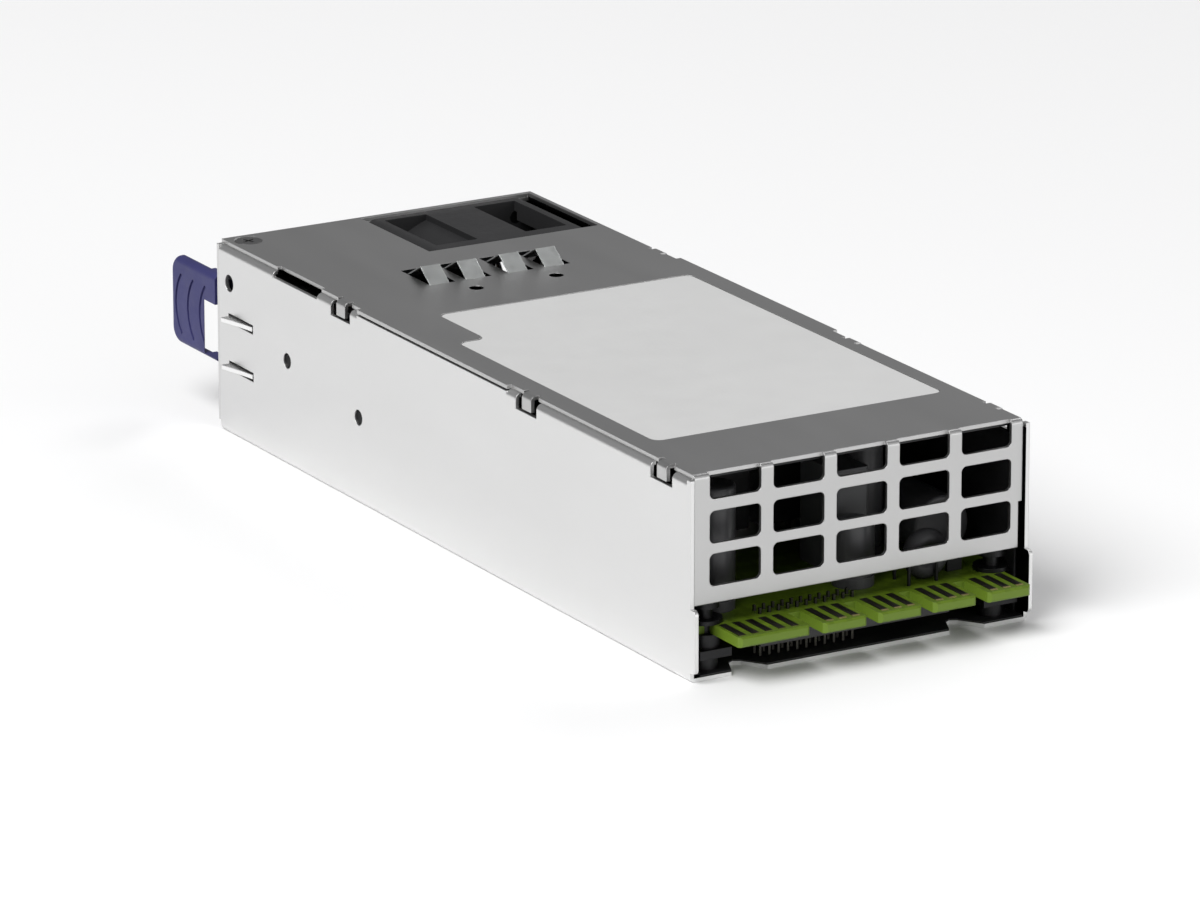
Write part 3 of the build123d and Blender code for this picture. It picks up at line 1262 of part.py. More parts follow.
def fan_guard():
    """Wire guard outside the rear panel with an eye at each screw."""
    y = CASE_LENGTH + GUARD_WIRE
    place = Pos(FAN_X, y, FAN_Z)
    pieces = []
    for radius in GUARD_RINGS:
        pieces.append(place * Rot(90, 0, 0) * Torus(radius, GUARD_WIRE))
    reach = FAN_HOLE_PITCH / math.sqrt(2) - FAN_HOLE_RADIUS - GUARD_WIRE
    inner = GUARD_RINGS[-1]
    for index in range(4):
        spoke = Pos(0, 0, (inner + reach) / 2) * Cylinder(GUARD_WIRE, reach - inner)
        pieces.append(place * Rot(0, 45 + 90 * index, 0) * spoke)
    for x, z in fan_holes():
        pieces.append(Pos(x, y, z) * Rot(90, 0, 0) * Torus(FAN_HOLE_RADIUS + GUARD_WIRE, GUARD_WIRE))
    return join(pieces)


def fan_screws():
    """Four screws through the guard and the panel into the fan."""
    screws = []
    for x, z in fan_holes():
        head_y = CASE_LENGTH + 2 * GUARD_WIRE
        shank = rod_along_y(x, z, REAR_IN - FAN_SCREW_LENGTH + 1.0, head_y, FAN_HOLE_RADIUS)
        head = rod_along_y(x, z, head_y, head_y + FAN_SCREW_HEAD, FAN_SCREW_HEAD_RADIUS)
        head = fillet(head.edges().filter_by(GeomType.CIRCLE).sort_by(Axis.Y)[-1], 0.5)
        recess = Pos(x, head_y + FAN_SCREW_HEAD, z) * Rot(-90, 0, 0) * cross_recess(2.4, 0.5, 0.7)
        screws.append(shank + head - recess)
    return group(screws)


def socket_front():
    """Y of the fan socket's closed face."""
    return BOARD_REAR - SOCKET_FROM_BOARD_REAR


def fan_socket():
    """Open-ended socket on the board for the fan lead."""
    y0 = socket_front()
    y1 = y0 + SOCKET_DEPTH
    body = block(SOCKET_X, SOCKET_X + SOCKET_WIDTH, y0, y1, BOARD_TOP, BOARD_TOP + SOCKET_HEIGHT)
    inside = block(
        SOCKET_X + SOCKET_WALL, SOCKET_X + SOCKET_WIDTH - SOCKET_WALL, y0 + SOCKET_WALL, y1 + BEYOND,
        BOARD_TOP + SOCKET_WALL, BOARD_TOP + SOCKET_HEIGHT - SOCKET_WALL,
    )
    return body - inside


def fan_plug():
    """Plug on the fan lead, seated in the socket."""
    wall = SOCKET_WALL + PLUG_GAP
    y0 = socket_front() + SOCKET_WALL
    y1 = socket_front() + SOCKET_DEPTH + 1.5
    return block(
        SOCKET_X + wall, SOCKET_X + SOCKET_WIDTH - wall, y0, y1,
        BOARD_TOP + SOCKET_WALL, BOARD_TOP + SOCKET_HEIGHT - wall,
    )


def fan_lead():
    """Sleeved fan lead from the fan frame to its plug."""
    plug_y = socket_front() + SOCKET_DEPTH + 1.5
    plug_z = BOARD_TOP + SOCKET_HEIGHT / 2
    plug_x = SOCKET_X + SOCKET_WIDTH / 2
    near = FAN_NEAR
    low = FAN_Z - FAN_SIZE / 2 + 5.0
    lead_x = FAN_X - FAN_SIZE / 2 + 2.2
    points = [
        (plug_x, plug_y, plug_z),
        (plug_x, plug_y + 2.4, plug_z),
        (lead_x, near - 2.2, low),
        (lead_x, near, low),
    ]
    return lead(points, 1.2, FAN_LEAD_RADIUS)


# Latch
def latch_leaf_root():
    """Riveted end of the latch leaf, inside the left wall."""
    leaf = block(LEAF_OUT, LEAF_IN, LEAF_START, LATCH_HINGE_Y, LEAF_BOTTOM, LEAF_TOP)
    leaf = fillet(leaf.edges().filter_by(Axis.X).sort_by(Axis.Y)[:2], 2.0)
    joint = Pos(LEAF_MID, LATCH_HINGE_Y, (LEAF_BOTTOM + LEAF_TOP) / 2)
    leaf = leaf - joint * Cylinder(LEAF_THICKNESS / 2 + LEAF_JOINT_GAP, LEAF_TOP - LEAF_BOTTOM + BEYOND)
    leaf = leaf.solids().sort_by(SortBy.VOLUME)[-1]
    for y, z in RIVETS:
        leaf = leaf - rod_along_x(y, z, LEAF_OUT, LEAF_IN, RIVET_RADIUS)
    return leaf


def barb(height):
    """Ramped hook on the leaf that comes out through the wall."""
    tip = LEFT_OUT - BARB_PROUD
    low = height - BARB_THICKNESS / 2
    outline = make_face(
        Line((LEAF_OUT, BARB_START), (LEFT_OUT, BARB_START))
        + ThreePointArc(
            (LEFT_OUT, BARB_START),
            (LEFT_OUT - BARB_PROUD * 0.44, (BARB_START + BARB_END) / 2),
            (tip, BARB_END - 0.5),
        )
        + Line((tip, BARB_END - 0.5), (tip, BARB_END))
        + Line((tip, BARB_END), (LEAF_OUT, BARB_END))
        + Line((LEAF_OUT, BARB_END), (LEAF_OUT, BARB_START))
    )
    return extrude(Pos(0, 0, low) * outline, BARB_THICKNESS)


def latch_leaf_arm():
    """Moving end of the latch leaf with its two barbs."""
    arm = block(LEAF_OUT, LEAF_IN, LATCH_HINGE_Y, LEAF_END, LEAF_BOTTOM, LEAF_TOP)
    joint = Pos(LEAF_MID, LATCH_HINGE_Y, (LEAF_BOTTOM + LEAF_TOP) / 2)
    knuckle = joint * Cylinder(LEAF_THICKNESS / 2, LEAF_TOP - LEAF_BOTTOM)
    return join([arm, knuckle] + [barb(height) for height in BARB_HEIGHTS])


def latch_rivets():
    """Two rivets that hold the leaf to the wall, each with a spacing collar."""
    rivets = []
    for y, z in RIVETS:
        shank = rod_along_x(y, z, LEFT_OUT + RIVET_RECESS, LEAF_IN + RIVET_HEAD, RIVET_RADIUS)
        collar = rod_along_x(y, z, LEFT_IN, LEAF_OUT, RIVET_COLLAR_RADIUS)
        head = rod_along_x(y, z, LEAF_IN, LEAF_IN + RIVET_HEAD, RIVET_COLLAR_RADIUS)
        rivets.append(join([shank, collar, head]))
    return group(rivets)


def groove(index):
    """Curved grip groove in the outer face."""
    middle = (GRIP_TOP + GRIP_BOTTOM) / 2 - GROOVE_DROP
    crown = CASE_LENGTH + GRIP_REACH - GROOVE_FIRST - index * GROOVE_PITCH
    half = GROOVE_HEIGHT / 2
    arc = ThreePointArc(
        (crown - GROOVE_BOW, middle - half),
        (crown, middle),
        (crown - GROOVE_BOW, middle + half),
    )
    face = Plane.YZ * SlotArc(arc, GROOVE_WIDTH)
    outer = LEFT_OUT + GRIP_FACE_INSET
    return Pos(outer - BEYOND, 0, 0) * extrude(face, GROOVE_DEPTH + BEYOND)


def latch_grip():
    """Finger loop moulded on the end of the leaf arm."""
    outer = LEFT_OUT + GRIP_FACE_INSET
    start = CASE_LENGTH + GRIP_FACE_START
    end = CASE_LENGTH + GRIP_REACH
    inner = outer + GRIP_THICKNESS
    loop = block(outer, inner, start, end, GRIP_BOTTOM, GRIP_TOP)
    loop = fillet(loop.edges().filter_by(Axis.X).sort_by(Axis.Y)[-2:], GRIP_CORNER)
    loop = fillet(loop.faces().sort_by(Axis.X)[0].edges().sort_by(Axis.Z)[-2:], GRIP_TOP_ROUND)
    window_end = CASE_LENGTH + GRIP_WINDOW_END
    window = [
        (outer - BEYOND, 0),
        (outer - BEYOND, window_end - GRIP_BEVEL * BEYOND),
        (inner + BEYOND, window_end + GRIP_BEVEL * (inner + BEYOND - outer)),
        (inner + BEYOND, 0),
    ]
    loop = loop - plate_outline(window, GRIP_WINDOW_BOTTOM, GRIP_WINDOW_TOP)
    deep = LEAF_IN + GRIP_CARRIER_THICKNESS
    top_arm = block(LEAF_IN, deep, GRIP_CARRIER_START, window_end, GRIP_WINDOW_TOP, GRIP_TOP)
    bottom_arm = block(LEAF_IN, deep, GRIP_CARRIER_START, window_end, GRIP_BOTTOM, GRIP_WINDOW_BOTTOM)
    carrier_end = GRIP_CARRIER_START + GRIP_CARRIER_WIDTH
    carrier = block(LEAF_IN, deep, GRIP_CARRIER_START, carrier_end, GRIP_BOTTOM, GRIP_TOP)
    loop = join([loop, top_arm, bottom_arm, carrier])
    for index in range(GROOVES):
        loop = loop - groove(index)
    return loop.solids().sort_by(SortBy.VOLUME)[-1]


# Parts on the board
def standing_can(x, y, radius, height):
    """Upright can capacitor with a crimped foot."""
    can = post(x, y, BOARD_TOP, BOARD_TOP + height, radius)
    can = fillet(can.edges().filter_by(GeomType.CIRCLE).sort_by(Axis.Z)[-1], 0.6)
    z0 = BOARD_TOP + 2.0
    z1 = z0 + 0.8
    return can - (post(x, y, z0, z1, radius + BEYOND) - post(x, y, z0, z1, radius - CAP_CRIMP))


def output_capacitors():
    """Can capacitors across the output."""
    return group([standing_can(x, y, OUTPUT_CAP_RADIUS, OUTPUT_CAP_HEIGHT) for x, y in OUTPUT_CAPS])


def filter_capacitor():
    """Short can behind the grille's middle column."""
    return standing_can(FILTER_CAP_X, FILTER_CAP_Y, OUTPUT_CAP_RADIUS, FILTER_CAP_HEIGHT)


def ring_choke():
    """Small ring choke standing at the front of the board."""
    z = BOARD_TOP + RING_RADIUS + RING_SECTION
    return Pos(RING_X, RING_Y, z) * Rot(90, 0, 0) * Torus(RING_RADIUS, RING_SECTION)


def choke_legs():
    """Three wire legs beside the ring choke."""
    top = BOARD_TOP + RING_LEAD_HEIGHT
    return group([post(RING_X + x, y, BOARD_TOP, top, RING_LEAD) for x, y in RING_LEADS])


def output_inductor():
    """Boxed inductor in the middle of the output end."""
    top = BOARD_TOP + INDUCTOR_HEIGHT
    x1 = INDUCTOR_X + INDUCTOR_WIDTH
    y1 = INDUCTOR_Y + INDUCTOR_DEPTH
    body = block(INDUCTOR_X, x1, INDUCTOR_Y, y1, BOARD_TOP, top)
    return fillet(body.edges().filter_by(Axis.Z), 0.8)


def lying_capacitor():
    """Can capacitor lying along the right side, on a saddle."""
    z = BOARD_TOP + LYING_CAP_RADIUS + CAN_LIFT
    y1 = LYING_CAP_Y + LYING_CAP_LENGTH
    can = rod_along_y(LYING_CAP_X, z, LYING_CAP_Y, y1, LYING_CAP_RADIUS)
    return fillet(can.edges().filter_by(GeomType.CIRCLE), 0.6)


def capacitor_saddles():
    """Cradles that carry the two lying capacitors."""
    cradles = []
    for x, radius, start, end in (
        (LYING_CAP_X, LYING_CAP_RADIUS, LYING_CAP_Y, LYING_CAP_Y + LYING_CAP_LENGTH),
        (BULK_CAP_X, BULK_CAP_RADIUS, BULK_CAP_Y, BULK_CAP_Y + BULK_CAP_LENGTH),
    ):
        z = BOARD_TOP + radius + CAN_LIFT
        width = radius * 0.6
        for y in (start + 3.0, end - 6.0):
            cradle = block(x - width, x + width, y, y + 3.0, BOARD_TOP, z)
            cradles.append(cradle - rod_along_y(x, z, start - BEYOND, end + BEYOND, radius))
    return group(cradles)


def bulk_capacitor():
    """Large input capacitor lying on its saddles."""
    z = BOARD_TOP + BULK_CAP_RADIUS + CAN_LIFT
    y1 = BULK_CAP_Y + BULK_CAP_LENGTH
    can = rod_along_y(BULK_CAP_X, z, BULK_CAP_Y, y1, BULK_CAP_RADIUS)
    can = fillet(can.edges().filter_by(GeomType.CIRCLE), 1.0)
    ring = rod_along_y(BULK_CAP_X, z, y1 - 4.5, y1 - 3.3, BULK_CAP_RADIUS + BEYOND)
    ring = ring - rod_along_y(BULK_CAP_X, z, y1 - 4.5, y1 - 3.3, BULK_CAP_RADIUS - CAP_CRIMP)
    return can - ring


def bus_clip():
    """Folded earth clip at the front right of the board."""
    x0 = BUS_CLIP_X - BUS_CLIP_WIDTH / 2
    x1 = BUS_CLIP_X + BUS_CLIP_WIDTH / 2
    top = BOARD_TOP + BUS_CLIP_HEIGHT
    leg = block(x0, x1, BUS_CLIP_Y, BUS_CLIP_Y + SHEET, BOARD_TOP, top)
    return leg + block(x0, x1, BUS_CLIP_Y, BUS_CLIP_Y + BUS_CLIP_FOLD, top - SHEET, top)


def heatsink(x, y, width, height):
    """Upright plate heatsink across the board with fins on its rear face."""
    top = BOARD_TOP + height
    back = y + SINK_THICKNESS
    sink = [block(x, x + width, y, back, BOARD_TOP, top)]
    for index in range(SINK_FINS):
        middle = x + (index + 0.5) * width / SINK_FINS
        half = SINK_FIN_THICKNESS / 2
        sink.append(block(middle - half, middle + half, back, back + SINK_FIN, BOARD_TOP, top))
    return join(sink)


def packages(x, y, width):
    """As many power packages as fit on the front face of a heatsink, each on its legs."""
    pieces = []
    count = int(width // PACKAGE_ROOM)
    pitch = width / count
    for index in range(count):
        middle = x + (index + 0.5) * pitch
        x0 = middle - PACKAGE_WIDTH / 2
        bottom = BOARD_TOP + PACKAGE_LIFT
        near = y - PACKAGE_THICKNESS
        body = block(x0, x0 + PACKAGE_WIDTH, near, y, bottom, bottom + PACKAGE_HEIGHT)
        legs = []
        for leg in (-1, 0, 1):
            leg_x = middle + leg * PACKAGE_LEG_PITCH
            leg_y = (near + y) / 2
            legs.append(block(leg_x - 0.4, leg_x + 0.4, leg_y - 0.3, leg_y + 0.3, BOARD_TOP, bottom))
        pieces.append(join([body] + legs))
    return group(pieces)


def rectifier_heatsink():
    """Heatsink of the output rectifiers."""
    left = -RECTIFIER_SINK_WIDTH / 2
    return heatsink(left, RECTIFIER_SINK_Y, RECTIFIER_SINK_WIDTH, RECTIFIER_SINK_HEIGHT)


def output_rectifiers():
    """Output rectifiers on their heatsink."""
    width = RECTIFIER_SINK_WIDTH - RECTIFIER_INSET
    return packages(RECTIFIER_SINK_WIDTH / 2 - width, RECTIFIER_SINK_Y, width)


def switch_heatsink():
    """Heatsink of the mains-side switches."""
    return heatsink(SWITCH_SINK_X, SWITCH_SINK_Y, SWITCH_SINK_WIDTH, SWITCH_SINK_HEIGHT)


def power_switches():
    """Mains-side switching transistors on their heatsink."""
    return packages(SWITCH_SINK_X, SWITCH_SINK_Y, SWITCH_SINK_WIDTH)


def transformer_window():
    """X span of the transformer's winding window."""
    return TRANSFORMER_X + TRANSFORMER_LIMB, TRANSFORMER_X + TRANSFORMER_WIDTH - TRANSFORMER_LIMB


def transformer_core():
    """Ferrite core with outer limbs, yokes and a round middle limb."""
    x0 = TRANSFORMER_X
    x1 = x0 + TRANSFORMER_WIDTH
    y0 = TRANSFORMER_Y
    y1 = y0 + TRANSFORMER_DEPTH
    top = BOARD_TOP + TRANSFORMER_HEIGHT
    core = block(x0, x1, y0 + 5.0, y1 - 5.0, BOARD_TOP, top)
    win0, win1 = transformer_window()
    window = block(win0, win1, y0, y1, BOARD_TOP + TRANSFORMER_LIMB, top - TRANSFORMER_LIMB)
    limb = post((x0 + x1) / 2, (y0 + y1) / 2, BOARD_TOP, top, TRANSFORMER_LIMB * 0.7)
    return core - window + limb


def transformer_winding():
    """Wound bobbin around the middle limb."""
    win0, win1 = transformer_window()
    x = (win0 + win1) / 2
    y = TRANSFORMER_Y + TRANSFORMER_DEPTH / 2
    radius = (win1 - win0) / 2 - WINDING_GAP
    z0 = BOARD_TOP + TRANSFORMER_LIMB
    z1 = BOARD_TOP + TRANSFORMER_HEIGHT - TRANSFORMER_LIMB
    coil = post(x, y, z0 + 1.0, z1 - 1.0, radius - 1.0)
    cheeks = post(x, y, z0, z0 + 1.0, radius) + post(x, y, z1 - 1.0, z1, radius)
    return join([coil, cheeks]) - post(x, y, z0, z1, TRANSFORMER_LIMB * 0.7)


def wound_ring(x, y, radius, section, wire):
    """Winding around a standing ring core, open at the foot."""
    z = BOARD_TOP + radius + section + wire
    turn = 360 - WINDING_OPENING
    coil = Torus(radius, section + wire, major_angle=turn) - Torus(radius, section, major_angle=turn)
    return Pos(x, y, z) * Rot(90, 0, 0) * Rot(0, 0, WINDING_OPENING / 2 - 90) * coil


def ring_core(x, y, radius, section, wire):
    """Ring core standing on the board."""
    z = BOARD_TOP + radius + section + wire
    return Pos(x, y, z) * Rot(90, 0, 0) * Torus(radius, section - CORE_GAP)


def pfc_choke_core():
    """Core of the large boost choke."""
    return ring_core(PFC_X, PFC_Y, PFC_RADIUS, PFC_SECTION, PFC_WIRE)


def pfc_choke_winding():
    """Winding of the large boost choke."""
    return wound_ring(PFC_X, PFC_Y, PFC_RADIUS, PFC_SECTION, PFC_WIRE)


def line_choke_core():
    """Core of the mains filter choke."""
    return ring_core(CHOKE_X, CHOKE_Y, CHOKE_RADIUS, CHOKE_SECTION, CHOKE_WIRE)


def line_choke_winding():
    """Winding of the mains filter choke."""
    return wound_ring(CHOKE_X, CHOKE_Y, CHOKE_RADIUS, CHOKE_SECTION, CHOKE_WIRE)


def mains_capacitor():
    """Boxed capacitor across the mains."""
    x1 = X_CAP_X + X_CAP_WIDTH
    y1 = X_CAP_Y + X_CAP_DEPTH
    body = block(X_CAP_X, x1, X_CAP_Y, y1, BOARD_TOP, BOARD_TOP + X_CAP_HEIGHT)
    return fillet(body.edges().filter_by(Axis.Z), 0.6)


def bridge_rectifier():
    """Flat bridge rectifier standing on its four legs."""
    x1 = BRIDGE_X + BRIDGE_WIDTH
    y1 = BRIDGE_Y + BRIDGE_THICKNESS
    bottom = BOARD_TOP + 3.0
    body = block(BRIDGE_X, x1, BRIDGE_Y, y1, bottom, bottom + BRIDGE_HEIGHT)
    body = chamfer(body.edges().filter_by(Axis.Y).sort_by(Axis.Z)[-1], 2.5)
    pieces = [body]
    for index in range(4):
        x = BRIDGE_X + (index + 0.5) * BRIDGE_WIDTH / 4
        y = BRIDGE_Y + BRIDGE_THICKNESS / 2
        pieces.append(block(x - 0.5, x + 0.5, y - 0.4, y + 0.4, BOARD_TOP, bottom))
    return join(pieces)


def fuse():
    """Cartridge fuse body."""
    z = BOARD_TOP + FUSE_RADIUS + FUSE_LIFT
    y0 = FUSE_Y + FUSE_CAP
    return rod_along_y(FUSE_X, z, y0, y0 + FUSE_LENGTH, FUSE_RADIUS - 0.3)


def fuse_clips():
    """End caps of the fuse in their clips."""
    z = BOARD_TOP + FUSE_RADIUS + FUSE_LIFT
    caps = []
    for y in (FUSE_Y, FUSE_Y + FUSE_CAP + FUSE_LENGTH):
        cap = rod_along_y(FUSE_X, z, y, y + FUSE_CAP, FUSE_RADIUS)
        foot = block(FUSE_X - 1.5, FUSE_X + 1.5, y, y + FUSE_CAP, BOARD_TOP, z)
        caps.append(cap + foot)
    return group(caps)


def control_card():
    """Upright control card standing on the board."""
    top = BOARD_TOP + CARD_HEIGHT
    return block(CARD_X, CARD_X + CARD_THICKNESS, CARD_Y, CARD_Y + CARD_LENGTH, BOARD_TOP, top)


def control_chips():
    """Two flat chips on the control card."""
    chips = []
    for index in range(2):
        z0 = BOARD_TOP + 3.0 + index * (CHIP_SIZE + 2.0)
        y0 = CARD_Y + 2.5
        chips.append(block(CARD_X - CHIP_THICKNESS, CARD_X, y0, y0 + CHIP_SIZE, z0, z0 + CHIP_SIZE))
    return group(chips)


def save(name, shape):
    """Write one node with the origin at the centre of the underside."""
    export_step(Pos(0, -CASE_LENGTH / 2, 0) * shape, f"parts/{name}.step")


NODES = {
    "chassis": chassis,
    "cover": cover,
    "cover_screw": cover_screw,
    "label": label,
    "contact_fingers": contact_fingers,
    "lining_tray": lining_tray,
    "lining_lid": lining_lid,
    "main_board": main_board,
    "edge_contacts": edge_contacts,
    "header_body": header_body,
    "header_pins": header_pins,
    "board_supports": board_supports,
    "board_washers": board_washers,
    "board_screws": board_screws,
    "rear_panel": rear_panel,
    "status_light_pipe": status_light_pipe,
    "inlet_housing": inlet_housing,
    "inlet_pins": inlet_pins,
    "inlet_leads": inlet_leads,
    "fan_frame": fan_frame,
    "fan_bearings": fan_bearings,
    "fan_stator": fan_stator,
    "fan_shaft": fan_shaft,
    "fan_magnet": fan_magnet,
    "fan_rotor": fan_rotor,
    "fan_guard": fan_guard,
    "fan_screws": fan_screws,
    "fan_socket": fan_socket,
    "fan_plug": fan_plug,
    "fan_lead": fan_lead,
    "latch_leaf_root": latch_leaf_root,
    "latch_leaf_arm": latch_leaf_arm,
    "latch_rivets": latch_rivets,
    "latch_grip": latch_grip,
    "output_capacitors": output_capacitors,
    "filter_capacitor": filter_capacitor,
    "ring_choke": ring_choke,
    "choke_legs": choke_legs,
    "output_inductor": output_inductor,
    "lying_capacitor": lying_capacitor,
    "capacitor_saddles": capacitor_saddles,
    "bulk_capacitor": bulk_capacitor,
    "bus_clip": bus_clip,
    "rectifier_heatsink": rectifier_heatsink,
    "output_rectifiers": output_rectifiers,
    "switch_heatsink": switch_heatsink,
    "power_switches": power_switches,
    "transformer_core": transformer_core,
    "transformer_winding": transformer_winding,
    "pfc_choke_core": pfc_choke_core,
    "pfc_choke_winding": pfc_choke_winding,
    "line_choke_core": line_choke_core,
    "line_choke_winding": line_choke_winding,
    "mains_capacitor": mains_capacitor,
    "bridge_rectifier": bridge_rectifier,
    "fuse": fuse,
    "fuse_clips": fuse_clips,
    "control_card": control_card,
    "control_chips": control_chips,
}

os.makedirs("parts", exist_ok=True)
for node_name, build_node in NODES.items():
    save(node_name, build_node())
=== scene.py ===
"""Looks, light and camera for a plug-in switching power supply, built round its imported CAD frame."""

import json

import bmesh
import bpy
from mathutils import Matrix, Vector


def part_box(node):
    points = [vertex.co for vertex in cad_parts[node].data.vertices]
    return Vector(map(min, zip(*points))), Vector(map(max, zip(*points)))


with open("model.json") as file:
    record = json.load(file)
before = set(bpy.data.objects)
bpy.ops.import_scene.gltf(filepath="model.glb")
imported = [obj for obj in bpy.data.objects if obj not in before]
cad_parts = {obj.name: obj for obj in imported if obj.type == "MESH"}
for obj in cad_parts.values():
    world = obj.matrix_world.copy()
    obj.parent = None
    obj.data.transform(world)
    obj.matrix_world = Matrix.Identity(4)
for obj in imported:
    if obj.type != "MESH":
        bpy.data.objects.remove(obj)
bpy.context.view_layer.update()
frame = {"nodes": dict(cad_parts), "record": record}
nodes = frame["nodes"]

MM = 0.001


def corners(node):
    """Lowest and highest corner of a CAD piece in millimetres."""
    low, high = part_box(node)
    return low / MM, high / MM


# Planes of the sheet metal in millimetres, from its thickness and the frame
SHEET = 0.8
CASE_SIDE = corners("chassis")[1].x
CASE_TOP = corners("chassis")[1].z
CASE_END = corners("rear_panel")[1].y
COVER_FRONT = corners("cover")[0].y
COVER_TOP = corners("cover")[1].z
WALL_INSIDE = CASE_SIDE - SHEET
LIP_UNDERSIDE = CASE_TOP - SHEET
CONTACT_TIP = corners("edge_contacts")[0].y

# Where pieces change their look, in millimetres
SKIN = 0.01
SHADE_GAP = 0.05
LIP_SHADE_SIDE = 35.5
NOTCH_REACH = 5.45
COVER_SHADE_SIDE = 35.55
CUT_RIM = 0.08
HOLE_SIDE = 9.05
HOLE_FROM_REAR = 56.85
HOLE_REACH = 1.48
FINGER_SLOT_SPAN = (-16.0, 15.8)
FINGER_SLOTS_FROM_REAR = 50.8
FINGER_SLOT_LENGTH = 12.3
PANEL_SHADE_BOTTOM = 1.0
LEAF_SHADE_FROM = 36.2
GRIP_SHADE_PAST_REAR = 1.75
CONTACT_SHADE_FROM = 0.7
CONTACT_BRIGHT_TO = 0.35

# Sockets of a colour mix
MIX_FIRST = 6
MIX_SECOND = 7
MIX_RESULT = 2

# Shading values
EVEN = (1.0, 1.0, 1.0)
LEAST_ROUGHNESS = 0.04
RELIEF_STRENGTH = 0.8
EDGE_SAMPLES = 4
STEEL_BLUE_SHARE = 0.995
# Share of its colour that plastic keeps under painted shade
PAINTED_SHADE_SHARE = 0.08


# Material building blocks
class Look:
    """A node material that is put together a step at a time."""

    def __init__(self, name, colour, roughness, metallic=0.0):
        self.material = bpy.data.materials.new(name)
        self.material.use_nodes = True
        self.tree = self.material.node_tree
        self.shader = self.tree.nodes["Principled BSDF"]
        self.colour = colour
        self.roughness = roughness
        self.finish("Base Color", colour)
        self.finish("Roughness", roughness)
        self.finish("Metallic", metallic)

    def feed(self, socket, value):
        """Give a socket a number, a colour or what another node works out."""
        if isinstance(value, bpy.types.NodeSocket):
            self.tree.links.new(value, socket)
        elif socket.type == "RGBA":
            socket.default_value = (*value, 1.0)
        else:
            socket.default_value = value

    def finish(self, name, value):
        """Set one of the surface's own properties."""
        self.feed(self.shader.inputs[name], value)

    def node(self, kind, inputs=(), **settings):
        """A new node with its settings and its named or numbered inputs filled in."""
        made = self.tree.nodes.new(kind)
        for name, value in settings.items():
            setattr(made, name, value)
        for key, value in dict(inputs).items():
            self.feed(made.inputs[key], value)
        return made

    def place(self, stretch=EVEN):
        """Object coordinates, stretched along the axes."""
        coords = self.node("ShaderNodeTexCoord").outputs["Object"]
        return self.node("ShaderNodeMapping", {"Vector": coords, "Scale": stretch}).outputs["Vector"]

    def axes(self, vector):
        """The parts of a vector, by the name of their axis."""
        return self.node("ShaderNodeSeparateXYZ", {"Vector": vector}).outputs

    def noise(self, scale, detail=3.0, stretch=EVEN, distortion=0.0):
        """Soft clouds, finer with a larger scale."""
        inputs = {"Vector": self.place(stretch), "Scale": scale, "Detail": detail, "Distortion": distortion}
        return self.node("ShaderNodeTexNoise", inputs).outputs["Fac"]

    def spread(self, value, low=0.0, high=1.0, start=0.3, end=0.7):
        """A value between start and end turned into one between low and high."""
        inputs = {"Value": value, "From Min": start, "From Max": end, "To Min": low, "To Max": high}
        return self.node("ShaderNodeMapRange", inputs).outputs["Result"]

    def joined(self, operation, *values):
        """One sum, product or the like of some values."""
        return self.node("ShaderNodeMath", dict(enumerate(values)), operation=operation).outputs[0]

    def mix(self, value, first, second):
        """The first colour where the value is nought, the second where it is one."""
        inputs = {"Factor": value, MIX_FIRST: first, MIX_SECOND: second}
        return self.node("ShaderNodeMix", inputs, data_type="RGBA").outputs[MIX_RESULT]

    def within(self, boxes):
        """One inside any of some boxes, nought elsewhere. A box gives its limits in millimetres by axis."""
        position = self.axes(self.place())
        total = 0.0
        for box in boxes:
            inside = 1.0
            for axis, (low, high) in box.items():
                middle = (low + high) / 2 * MM
                reach = (high - low) / 2 * MM
                near = self.joined("COMPARE", position[axis], middle, reach)
                inside = self.joined("MULTIPLY", inside, near)
            total = self.joined("MAXIMUM", total, inside)
        return total

    def tint(self, value, amount):
        """Vary the colour by a share of itself, and return the varied colour."""
        dark = [part * (1 - amount) for part in self.colour]
        light = [min(1.0, part * (1 + amount)) for part in self.colour]
        varied = self.mix(self.spread(value), dark, light)
        self.finish("Base Color", varied)
        return varied

    def rough(self, value, amount):
        """Vary the roughness up and down by an amount."""
        low = max(LEAST_ROUGHNESS, self.roughness - amount)
        self.finish("Roughness", self.spread(value, low, self.roughness + amount))

    def relief(self, value, depth, edge=0.0):
        """Surface relief with softened edges, both in millimetres."""
        inputs = {"Height": value, "Distance": depth * MM, "Strength": RELIEF_STRENGTH}
        if edge:
            soft = self.node("ShaderNodeBevel", {"Radius": edge * MM}, samples=EDGE_SAMPLES)
            inputs["Normal"] = soft.outputs["Normal"]
        self.finish("Normal", self.node("ShaderNodeBump", inputs).outputs["Normal"])


